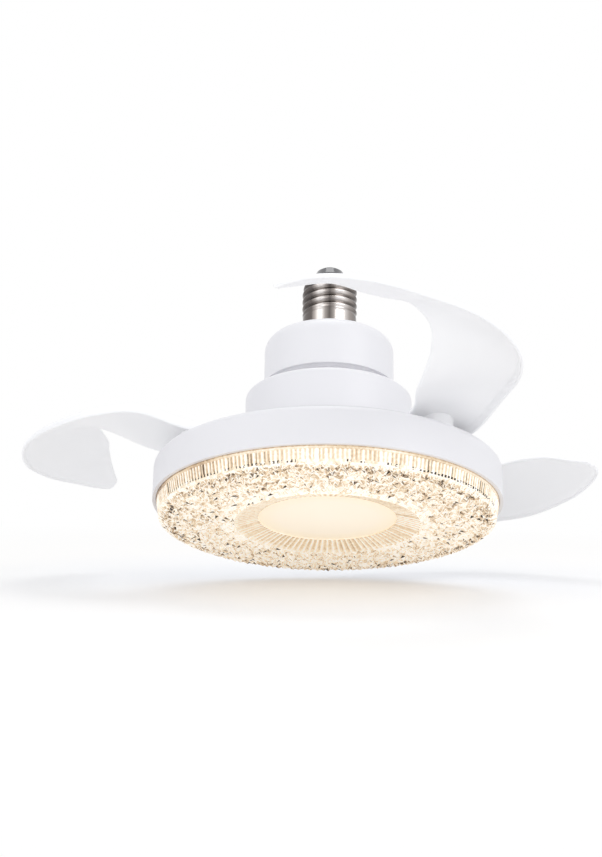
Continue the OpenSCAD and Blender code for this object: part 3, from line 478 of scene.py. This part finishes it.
# Rounded tip: where it starts, how much of the squared width goes, and the outer edge's part in that
TIP_START, TIP_BLUNT, TIP_OUTER = 0.8, 0.97, 0.45
# Narrowed root: where it ends, the share of the width that is left, and the outer edge's part
ROOT_END, ROOT_SHARE, ROOT_OUTER = 0.06, 0.5, 0.5
# Rings along the sheet, how much closer they are at its ends, and the angle of its sharp edges
RINGS, CROWDING, SHEET_SHARP = 170, 0.13, 50
# Profiles of the boss and of the room that the sheet leaves for it and for the pin's head, then the lug
BOSS_COLS = 96
BOSS_BOTTOM = top_z("thrust_washers") + 0.05
BOSS_PROFILE = [
    (4.55, 0), (5.45, 0), (5.45, 4.4), (6.9, 4.4), (6.9, 0), (7.85, 0),
    (8, 0.15), (8, 5.4), (7.7, 5.85), (7.2, 6), (4.7, 6), (4.55, 5.85),
]
BOSS_ROOM = [(7.9, -1), (7.9, 5.7), (6.2, 5.7), (6.2, 14)]
LUG_OUTLINE = [(-2, 7.6), (2, 7.6), (2, 11.2), (1.5, 11.7), (-1.5, 11.7), (-2, 11.2)]
LUG_HEIGHT, LUG_BEVEL = 1.5, 0.2


def spline(values, u):
    n = len(values) - 1
    s = clamp(u) * n
    k = min(int(s), n - 1)
    f = s - k
    p0, p1, p2, p3 = values[max(k - 1, 0)], values[k], values[k + 1], values[min(k + 2, n)]
    square = (2 * p0 - 5 * p1 + 4 * p2 - p3) * f * f
    cube = (3 * p1 - p0 - 3 * p2 + p3) * f ** 3
    return 0.5 * (2 * p1 + (p2 - p0) * f + square + cube)


def unit(a, b):
    """Direction from b to a."""
    n = math.hypot(a[0] - b[0], a[1] - b[1])
    return ((a[0] - b[0]) / n, (a[1] - b[1]) / n)


def around_end(first, last, ahead, steps=5):
    """Half-round edge of the sheet from one side to the other, bulging ahead."""
    mid = [(a + b) / 2 for a, b in zip(first, last)]
    arm = [(a - b) / 2 for a, b in zip(first, last)]
    reach = math.hypot(*arm)
    out = []
    for k in range(1, steps):
        a = math.pi * k / steps
        out.append(tuple(m + r * math.cos(a) + w * reach * math.sin(a) for m, r, w in zip(mid, arm, ahead)))
    return out


def blade_section(t, sheet_steps=26, lip_steps=10):
    """Closed outline across the sheet, as distance from the arc's centre and height.

    t is 0 at the root and 1 at the tip.
    """
    to_tip = max(0.0, t - TIP_START) / (1 - TIP_START)
    to_root = max(0.0, ROOT_END - t) / ROOT_END
    full = WIDTH * spline(WIDTH_SHARE, t)
    w = full * math.sqrt(1 - TIP_BLUNT * to_tip * to_tip)
    w *= math.sqrt(1 - (1 - ROOT_SHARE ** 2) * to_root * to_root)
    edge = EDGE_R - (ROOT_OUTER if t < ROOT_END else TIP_OUTER) * (full - w)
    lip = min(LIP_W, w * LIP_SHARE)
    drop = LIP_DEPTH * lip / LIP_W * (1 - LIP_FADE * t) * min(1.0, LIP_START + t / ROOT_END / 2)
    z_in, z_out = RISE * spline(INNER_RISE, t), RISE * spline(OUTER_RISE, t)
    if t > TIP_START:
        share = w / full
        out_at = 1 - TIP_OUTER * (1 - share)
        z_in, z_out = z_in + (z_out - z_in) * (out_at - share), z_in + (z_out - z_in) * out_at
    bow = BOW * min(1.0, w / (BOW_FROM * WIDTH))
    thick = min(THICK, w * THICK_SHARE)
    inset = thick / 2 / max(w - lip, 1)
    top = []
    for k in range(sheet_steps + 1):
        u = inset + (1 - inset) * k / sheet_steps
        top.append((edge - lip - (w - lip) * (1 - u), z_in + (z_out - z_in) * u + 4 * bow * u * (1 - u)))
    for k in range(1, lip_steps + 1):
        a = math.pi / 2 * (1 - inset) * k / lip_steps
        top.append((edge - lip + lip * math.sin(a), z_out - drop * (1 - math.cos(a))))
    last = len(top) - 1
    under = []
    for k, p in enumerate(top):
        ahead, behind = top[min(k + 1, last)], top[max(k - 1, 0)]
        d = (ahead[0] - behind[0], ahead[1] - behind[1])
        n = math.hypot(*d)
        under.append((p[0] + d[1] / n * thick, p[1] - d[0] / n * thick))
    start = around_end(top[0], under[0], unit(top[0], top[1]))
    end = around_end(under[-1], top[-1], unit(top[-1], top[-2]))
    return under + end + top[::-1] + start


def lathe(name, profile, place=Matrix.Identity(4), closed=True):
    """Profile turned about its axis: a closed ring, or a solid with flat ends."""
    cols = BOSS_COLS
    verts = [place @ Vector(polar(r, TURN * j / cols, z)) for r, z in profile for j in range(cols)]
    faces = grid_faces(len(profile), cols, wrap_rows=closed)
    if not closed:
        faces += [tuple(range(cols))[::-1], tuple((len(profile) - 1) * cols + j for j in range(cols))]
    return make_object(name, verts, faces)


def blade_mesh():
    """The sheet about its own pivot, in its folded place, with room for the boss and the pin's head."""
    verts = []
    for i in range(RINGS):
        t = i / (RINGS - 1) - CROWDING * math.sin(TURN * i / (RINGS - 1))
        a = math.radians(START - SWEEP * t)
        section = blade_section(t)
        for rho, z in section:
            x, y = SHIFT + rho * math.cos(a) - PIVOT_R, -SHIFT + rho * math.sin(a)
            verts.append((x * MM, y * MM, z * MM))
    size = len(section)
    faces = grid_faces(RINGS, size, flip=True)
    faces.append(tuple(range(size)))
    faces.append(tuple((RINGS - 1) * size + size - 1 - j for j in range(size)))
    obj = make_object("blade_form", verts, faces, sharp_deg=SHEET_SHARP)
    cutter = lathe("cutter", BOSS_ROOM, closed=False)
    mod = obj.modifiers.new("cut", "BOOLEAN")
    mod.operation = "DIFFERENCE"
    mod.object = cutter
    mod.solver = "EXACT"
    mesh = bpy.data.meshes.new_from_object(obj.evaluated_get(bpy.context.evaluated_depsgraph_get()))
    bpy.data.objects.remove(obj)
    bpy.data.objects.remove(cutter)
    shade(mesh, SHEET_SHARP)
    return mesh


def blade_piece(number, form):
    """Sheet, boss and stop lug of one blade, swung out."""
    turn = Matrix.Rotation(math.radians(FIRST_ANGLE - 120 * (number - 1)), 4, "Z")
    pivot = Matrix.Translation((PIVOT_R * MM, 0, BOSS_BOTTOM * MM))
    place = turn @ pivot @ Matrix.Rotation(math.radians(SWING), 4, "Z")
    mesh = form.copy()
    mesh.transform(place)
    sheet = link_new("blade_sheet_%d" % number, mesh)
    boss = lathe("blade_boss_%d" % number, BOSS_PROFILE, place)
    n = len(LUG_OUTLINE)
    verts = [place @ Vector((x * MM, y * MM, h * MM)) for h in (0, LUG_HEIGHT) for x, y in LUG_OUTLINE]
    faces = [(j, (j + 1) % n, n + (j + 1) % n, n + j) for j in range(n)]
    faces += [tuple(n - 1 - j for j in range(n)), tuple(n + j for j in range(n))]
    lug = make_object("blade_lug_%d" % number, verts, faces, smooth=False)
    bevel = lug.modifiers.new("edge", "BEVEL")
    bevel.width = LUG_BEVEL * MM
    bevel.segments = 2
    for obj in (sheet, boss, lug):
        obj.data.materials.clear()
        obj.data.materials.append(blade_white)
        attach(obj, "blade_%d" % number)
    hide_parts("blade_%d" % number)


form = blade_mesh()
for k in (1, 2, 3):
    blade_piece(k, form)
bpy.data.meshes.remove(form)


# ---------- crystal diffuser ----------
# Heights are up from the cup's underside, apart from the wall's four upper inside rows.

PLAIN_TONE = 0.7  # tone of faces that hardly show
CONE_IN, CONE_OUT = 32.0, 43.0
# The cut underside goes on from the cone: flat up to CUT_FLAT, then rounded to its outer edge
CUT_FLAT, CUT_OUT, CUT_ROUND = 75.6, 77.95, 2.5
PETALS = 40


def set_tones(obj, tones):
    """One tone a face, from 0 for a dark glint to 1 for a white one, which the crystal material colours."""
    layer = obj.data.attributes.new("tone", "FLOAT", "FACE")
    layer.data.foreach_set("value", [clamp(t) for t in tones])


def painted_contrast_share(a):
    """0 toward the front and back, 1 at the left and right, where the cuts show the most contrast of
    painted light and shade.
    """
    return abs(math.cos(a))


def wall_tone(band, row, a, phase, drift, glint):
    """Tone of one face, which paints its light and shade: phase counts the faces across a rib, drift and
    glint are the rib's own numbers.
    """
    side = painted_contrast_share(a)
    # a painted shadow line along the top of the wall, where it meets the drum's edge
    if band == "line":
        return 0.3
    # the clear band's painted light: darker toward the left and right, and waving round the cup
    if band == "clear":
        return 0.6 - 0.14 * side + 0.14 * math.sin(9 * a + 1.3 * math.sin(5 * a))
    # a painted highlight on each rib's crest and painted shade on its flanks, deeper at the left and right
    if band == "rib":
        painted_rib_light = (0.52, 0.7, 0.86, 0.98, 0.74, 0.6)[phase]
        return painted_rib_light - 0.06 - 0.07 * side + drift - 0.2 * side * (phase in (0, 4, 5))
    # painted dark glints where the ribs end, most of them at the left and right
    if band == "glint":
        dense = 0.22 + 0.7 * clamp((side - 0.25) * 4) * clamp((0.99 - side) * 12)
        skip = (glint * 37 + row) % 3 < 0.7
        if glint < dense and not skip and phase in (0, 1, 5):
            return 0.02
    return PLAIN_TONE + drift


def outer_wall():
    """Wall of the cup: clear above, ribs below it with glints at their ends, and a plain inside."""
    low, high = low_z("crystal_diffuser"), top_z("crystal_diffuser")
    top_r, low_r = 79.1, 78.1
    clear_h, rib_h, rib_run, draft, foot_h = 8.7, 7.7, 5.2, 0.9, 2.1
    ribs, per, rib_depth = 252, 6, 0.5
    cols = ribs * per
    # radius, height, share of the ribs' depth, and the band from this row to the next one
    rows = [
        (top_r, high, 0.0, "line"), (top_r, low + 9.0, 0.0, "line"), (top_r, low + clear_h, 0.0, "clear"),
        (top_r - 0.02, low + 8.0, 0.0, "clear"), (top_r - 0.1, low + rib_h, 1.0, "rib"),
    ]
    for f in (0.25, 0.5, 0.72, 0.82, 0.91, 1.0):
        band = "rib" if f < 0.8 else "glint"
        rows.append((top_r - 0.1 - draft * f, low + rib_h - rib_run * f, 1.0, band))
    rows += [(low_r - 0.3, low + foot_h, 0.4, "plain"), (low_r - 1.6, low + foot_h, 0.2, "plain")]
    rows += [(r, low + h, 0.0, "plain") for r, h in ((75.2, 3.0), (75.6, 3.6), (76.5, 9.1))]
    rows += [(r, high - d, 0.0, "plain") for r, d in ((76.5, 1.2), (73.5, 1.2), (73.5, 0.1), (73.6, 0.0))]
    verts, tones = [], []
    for r, z, amount, _ in rows:
        for j in range(cols):
            wave = 0.5 + 0.5 * math.cos(TURN * j / per)
            verts.append(polar(r - rib_depth * amount * wave ** 0.7, TURN * j / cols, z))
    drift = [rng.gauss(0.0, 0.11) for _ in range(ribs)]
    glint = [rng.random() for _ in range(ribs)]
    for row, (_, _, _, band) in enumerate(rows):
        for j in range(cols):
            rib = j // per
            tones.append(wall_tone(band, row, TURN * j / cols, j % per, drift[rib], glint[rib]))
    faces = grid_faces(len(rows), cols, wrap_rows=True, flip=True)
    obj = make_object("diffuser_wall", verts, faces, sharp_deg=40)
    set_tones(obj, tones)
    return obj


def cone():
    """Ribbed cone between the underside and the opal disc, with scalloped outer ends."""
    low = low_z("crystal_diffuser")
    lift, rib_depth = 2.9, 0.7
    ribs, per = 90, 8
    cols = ribs * per
    steps = [0.0, 0.04, 0.12, 0.3, 0.5, 0.7, 0.86, 0.95, 1.0]
    scallop_row, scallop_lift = 6, 0.1
    painted_crest_light = (0.5, 0.58, 0.7, 0.92, 0.96, 0.72, 0.6, 0.52)
    behind = [(43.4, 2.65), (35.4, 5.0), (33.8, 5.0), (33.7, 3.4), (CONE_IN, 3.4)]
    verts, tones = [], []
    for s in steps:
        r = CONE_IN + (CONE_OUT - CONE_IN) * s
        depth = rib_depth * min(1.0, s * 8, (1 - s) * 12)
        for j in range(cols):
            wave = abs(math.sin(math.pi * j / per))
            verts.append(polar(r, TURN * j / cols, low + lift * (1 - s) + depth * (1 - wave)))
    verts += [polar(r, TURN * j / cols, low + h) for r, h in behind for j in range(cols)]
    shift = [rng.gauss(0, 0.04) for _ in range(ribs)]
    # the tones paint lit crests and shaded flanks on the ribs, and long painted highlights (flares) at the
    # left and right
    for i in range(len(steps) - 1):
        for j in range(cols):
            phase, own = j % per, shift[j // per]
            flare = 0.99 if phase in (2, 3, 4) and own > -0.03 else 0.58
            side = clamp(5.0 * painted_contrast_share(TURN * j / cols) - 4.0)
            at_end = scallop_lift if i >= scallop_row else 0.0
            tones.append(painted_crest_light[phase] * (1 - side) + flare * side + own + at_end)
    tones += [PLAIN_TONE] * cols * (len(behind) + 1)
    faces = grid_faces(len(steps) + len(behind), cols, wrap_rows=True)
    obj = make_object("diffuser_cone", verts, faces, sharp_deg=30)
    set_tones(obj, tones)
    return obj


def cut_centres():
    """Centres of the cuts and their kinds: rings of them first, then pebbles wherever there is room."""
    rims, scallops, stars, beads, painted_reflections = 200, 90, 26, 120, 150
    tries, cell = 26000, 2.1
    room, ring_room = {"star": 16.0, "pebble": 7.8}, 4.6  # free distance round each one, squared
    centres, kinds, taken = [], [], {}

    def spot(p):
        return int(math.floor(p.x / cell)), int(math.floor(p.y / cell))

    def add(r, a, kind):
        p = Vector((r * math.cos(a), r * math.sin(a)))
        if kind == "pebble" and crowded(p):
            return
        centres.append(p)
        kinds.append(kind)
        taken.setdefault(spot(p), []).append((p, room.get(kind, ring_room)))

    def crowded(p):
        cx, cy = spot(p)
        cells = [(x, y) for x in range(cx - 2, cx + 3) for y in range(cy - 2, cy + 3)]
        return any((p - q).length_squared < free for at in cells for q, free in taken.get(at, ()))

    for j in range(rims):
        add(CUT_OUT, TURN * j / rims, "rim")
    for j in range(scallops):
        add(CONE_OUT, TURN * (j + 0.5) / scallops, "edge")
        add(45.0, TURN * j / scallops, "scallop")
    for j in range(PETALS):
        add(48.6, TURN * (j + 0.25 * rng.random()) / PETALS, "petal")
        add(52.6 + rng.uniform(0, 1.6), TURN * (j + 0.5) / PETALS, "petal")
    for j in range(stars):
        add(62.6 + (1.5 if j % 2 else -1.5), TURN * (j + 0.27) / stars, "star")
    for j in range(beads):
        add(70.3 + rng.uniform(-0.6, 0.6), TURN * (j + rng.uniform(0, 0.5)) / beads, "bead")
    for j in range(painted_reflections):
        add(75.0 + rng.uniform(-0.4, 0.4), TURN * (j + rng.uniform(0, 0.4)) / painted_reflections, "band")
    for _ in range(tries):
        add(math.sqrt(rng.uniform(50.0 ** 2, (CUT_OUT - 1.2) ** 2)), rng.uniform(0, TURN), "pebble")
    return centres, kinds


def cut_underside():
    """Cut pebbles of the underside, with a plain back that closes them.

    Each pebble is a fan of facets from its heart up to the seams round it. Where three pebbles meet,
    three tips hold a small facet of its own.
    """
    low = low_z("crystal_diffuser")
    heart_depth, seam_depth, tip_depth, dot_depth = (0.0, 0.4), (0.9, 1.7), (0.9, 1.6), (0.1, 0.6)
    back_h, rim_back_h, rim_from = 2.7, 2.15, 77
    flat_kinds = ("rim", "edge")
    centres, kinds = cut_centres()
    points, _, triangles, orig = delaunay_2d_cdt(centres, [], [], 0, 1e-5)[:4]
    points = [Vector((p[0], p[1])) for p in points]
    kind = [kinds[o[0]] if o else "pebble" for o in orig]
    own = [rng.gauss(0.0, 0.1) for _ in points]
    verts, faces, tones = [], [], []
    seams, backs, sides = {}, {}, {}

    def vert(p, depth):
        up = CUT_ROUND - math.sqrt(max(0.0, CUT_ROUND ** 2 - max(0.0, p.length - CUT_FLAT) ** 2))
        verts.append((p.x * MM, p.y * MM, (low + up + depth * max(0.2, 1 - up / 2)) * MM))
        return len(verts) - 1

    def seam(a, b):
        key = (min(a, b), max(a, b))
        if key not in seams:
            at_edge = kind[a] in flat_kinds and kind[a] == kind[b]
            seams[key] = vert((points[a] + points[b]) / 2, 0.0 if at_edge else rng.uniform(*seam_depth))
        return seams[key]

    def back(v):
        if v not in backs:
            x, y, _ = verts[v]
            h = rim_back_h if math.hypot(x, y) > rim_from * MM else back_h
            verts.append((x, y, (low + h) * MM))
            backs[v] = len(verts) - 1
        return backs[v]

    def put(ring, tone):
        faces.append(ring)
        tones.append(tone)

    hearts = [vert(p, 0.0 if kind[k] in flat_kinds else rng.uniform(*heart_depth))
              for k, p in enumerate(points)]
    for a, b, c in triangles:
        middle = sum((points[k] for k in (a, b, c)), Vector((0, 0))) / 3
        if middle.length < CONE_OUT + 0.05:
            continue
        if (points[b] - points[a]).cross(points[c] - points[a]) < 0:
            b, c = c, b
        corners = (a, b, c)
        dot = dot_tone(middle)
        dark = dot < DARK_BELOW
        reach = 1.0 if dark else 0.4
        mids = [seam(corners[k], corners[(k + 1) % 3]) for k in range(3)]
        tips = []
        for m in mids:
            depth = rng.uniform(*(dot_depth if dark and m == mids[0] else tip_depth))
            tips.append(vert(middle + (Vector(verts[m][:2]) / MM - middle) * reach, depth))
        put((tips[2], tips[1], tips[0]), dot)
        for k, p in enumerate(corners):
            heart, m, n = hearts[p], mids[k], mids[(k + 2) % 3]
            t, u = tips[k], tips[(k + 2) % 3]
            for ring in ((heart, t, m), (heart, u, t), (heart, n, u)):
                centre = sum((Vector(verts[q][:2]) for q in ring), Vector((0, 0))) / 3 / MM
                put(ring, pebble_tone(centre, points[p], kind[p], own[p]))
        for k in range(3):
            p, q = hearts[corners[k]], hearts[corners[(k + 1) % 3]]
            put((back(p), back(mids[k]), back(mids[(k + 2) % 3])), PLAIN_TONE)
            sides.setdefault((min(p, q), max(p, q)), []).append((p, mids[k], q))
        put(tuple(back(m) for m in mids), PLAIN_TONE)
    for shared in sides.values():
        if len(shared) == 1:
            p, m, q = shared[0]
            put((p, m, back(m), back(p)), PLAIN_TONE)
            put((m, q, back(q), back(m)), PLAIN_TONE)
    obj = make_object("diffuser_facets", verts, faces, smooth=False)
    set_tones(obj, tones)
    return obj


def dot_tone(middle):
    """Small facets between the pebbles: painted dark glints, near-black, in places, most of them in two
    rings, or painted white glints.
    """
    r, side = middle.length, painted_contrast_share(math.atan2(middle.y, middle.x))
    share = 0.02 + 0.06 * side
    if 69.0 < r < 71.6:
        share = 0.3 + 0.2 * side
    elif r > 74:
        share = 0.01
    elif 57 < r < 66:
        share += 0.05
    roll = rng.random()
    if roll < share:
        return 0.03
    return 0.98 if roll < 0.6 else 0.5


def pebble_tone(p, heart, kind, own):
    """Painted light and shade: brighter on the side toward the middle, darker away from it, with the odd
    painted white glint.
    """
    r, a = p.length, math.atan2(p.y, p.x)
    roll = rng.random()
    if kind in ("edge", "scallop"):
        return 0.98 if roll < 0.7 else 0.72
    # painted highlights on half of each petal and on the star cuts
    if kind == "petal":
        return (0.98 if (a * PETALS / TURN) % 1.0 < 0.45 else 0.6) + own
    if kind == "star":
        return 0.99 if roll < 0.6 else 0.55
    if kind == "rim":
        return 0.9 + 0.4 * own
    if kind == "band":
        return 0.36 + own + 0.2 * rng.random() if roll < 0.72 else 0.95
    # painted shading by which way a facet faces from its pebble's heart
    outward = (p - heart).normalized().dot(heart.normalized())
    tone = 0.67 - 0.16 * outward + own + rng.gauss(0, 0.1)
    if r > 71.5:
        return 0.97 if roll < 0.15 else tone - 0.22
    return 0.97 if roll < 0.2 else tone


for piece in (outer_wall(), cone(), cut_underside()):
    piece.data.materials.append(crystal_cut if piece.name == "diffuser_facets" else crystal_warm)
    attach(piece, "lamp")
    if piece.name == "diffuser_wall":
        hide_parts("crystal_diffuser")


# ---------- studio, in metres ----------

def area_light(name, location, target, size, power):
    data = bpy.data.lights.new(name, "AREA")
    data.shape = "DISK"
    data.size = size
    data.energy = power
    light = link_new(name, data)
    light.location = location
    light.rotation_mode = "QUATERNION"
    light.rotation_quaternion = (Vector(target) - Vector(location)).to_track_quat("-Z", "Y")


def studio_world():
    """Slightly cool light from all round, and pure white where it is seen."""
    world = bpy.data.worlds.new("studio")
    bpy.context.scene.world = world
    world.use_nodes = True
    tree = world.node_tree
    tree.nodes.clear()
    lit = node(tree, "ShaderNodeBackground", Strength=0.76, Color=(0.97, 0.98, 1.0, 1))
    seen = node(tree, "ShaderNodeBackground", Strength=1.0, Color=(1, 1, 1, 1))
    both = mix_shader(tree, seen_directly(tree), lit.outputs[0], seen.outputs[0])
    out = tree.nodes.new("ShaderNodeOutputWorld")
    tree.links.new(both, out.inputs["Surface"])


def floor_material():
    """Pale where the shadow falls, painted a little darker and cooler there, and pure white further away.

    Rays that only carry light meet a plain matt floor, and from below it is clear.
    """
    mat, tree, bsdf = new_material("floor_pale")
    bsdf.inputs["Base Color"].default_value = (0.9, 0.9, 0.9, 1)
    bsdf.inputs["Roughness"].default_value = 0.9
    bsdf.inputs["Specular IOR Level"].default_value = 0.0
    geometry = tree.nodes.new("ShaderNodeNewGeometry")
    away = tree.nodes.new("ShaderNodeVectorMath")
    away.operation = "LENGTH"
    tree.links.new(geometry.outputs["Position"], away.inputs[0])

    def passed(start, end, kind="LINEAR"):
        """0 for points nearer to the origin than start, and 1 for those further from it than end."""
        n = node(tree, "ShaderNodeMapRange", From_Min=start, From_Max=end)
        n.interpolation_type = kind
        tree.links.new(away.outputs["Value"], n.inputs["Value"])
        return n.outputs["Result"]

    matt = tree.nodes.new("ShaderNodeBsdfDiffuse")
    # painted shade and tint: darker and cooler near the lamp, which deepens its shadow and cancels the
    # crystal's warm light on the floor
    painted_shade_tints = [(0.0, (0.67, 0.69, 0.73)), (0.5, (0.72, 0.72, 0.725)), (1.0, (0.745, 0.735, 0.72))]
    tree.links.new(ramp(tree, passed(0.14, 0.27), painted_shade_tints), matt.inputs["Color"])
    glow = node(tree, "ShaderNodeEmission", Strength=0.26)
    near = tree.nodes.new("ShaderNodeAddShader")
    tree.links.new(matt.outputs[0], near.inputs[0])
    tree.links.new(glow.outputs[0], near.inputs[1])
    far = node(tree, "ShaderNodeEmission", Strength=1.0)
    seen = mix_shader(tree, passed(0.22, 0.55, "SMOOTHSTEP"), near.outputs[0], far.outputs[0])
    above = mix_shader(tree, seen_directly(tree), bsdf.outputs[0], seen)
    clear = tree.nodes.new("ShaderNodeBsdfTransparent")
    both = mix_shader(tree, geometry.outputs["Backfacing"], above, clear.outputs[0])
    tree.links.new(both, tree.nodes["Material Output"].inputs["Surface"])
    return mat


def photo_camera():
    """The camera that was fitted to the photograph, which looks up at the drum's foot from below."""
    width, height, sensor = 602, 857, 36
    focal, centre_x, centre_y = 1571.98, 327.674, 506.352  # in pixels of the photograph
    target_z, distance = -122.5 * MM, 729 * MM
    below, roll = math.radians(18.883), math.radians(0.554)
    data = bpy.data.cameras.new("camera")
    data.sensor_width = sensor
    data.lens = focal / height * sensor
    data.shift_x = (width / 2 - centre_x) / height
    data.shift_y = (centre_y - height / 2) / height
    cam = link_new("camera", data)
    cam.location = (0, -distance * math.cos(below), target_z - distance * math.sin(below))
    look = (Vector((0, 0, target_z)) - cam.location).to_track_quat("-Z", "Y").to_matrix().to_4x4()
    cam.matrix_world = Matrix.Translation(cam.location) @ look @ Matrix.Rotation(roll, 4, "Z")
    bpy.context.scene.camera = cam


# name, place, what it points at, width and power
area_light("left_light", (-0.82, -0.57, 0.30), (0, 0, -0.07), 1.0, 1.15)
area_light("right_light", (0.71, -0.71, 0.30), (0, 0, -0.07), 0.75, 2.3)
area_light("top_light", (0.0, -0.05, 0.9), (0, 0.0, -0.12), 0.5, 1.5)
area_light("low_light", (-0.15, -0.62, -0.27), (0, 0, -0.13), 0.4, 0.45)
studio_world()

# floor just under the lamp, nearly edge-on to the camera, and seen only from its upper side
FLOOR_Z, FLOOR_TILT, FLOOR_SIZE = -0.166, 21.6, 60
bpy.ops.mesh.primitive_plane_add(size=FLOOR_SIZE)
floor = bpy.context.object
floor.name = "floor"
lean = Matrix.Rotation(math.radians(FLOOR_TILT), 4, "X")
floor.matrix_world = Matrix.Translation((0, 0, FLOOR_Z)) @ lean
floor.data.materials.append(floor_material())

photo_camera()
bpy.context.scene.view_settings.view_transform = "Standard"
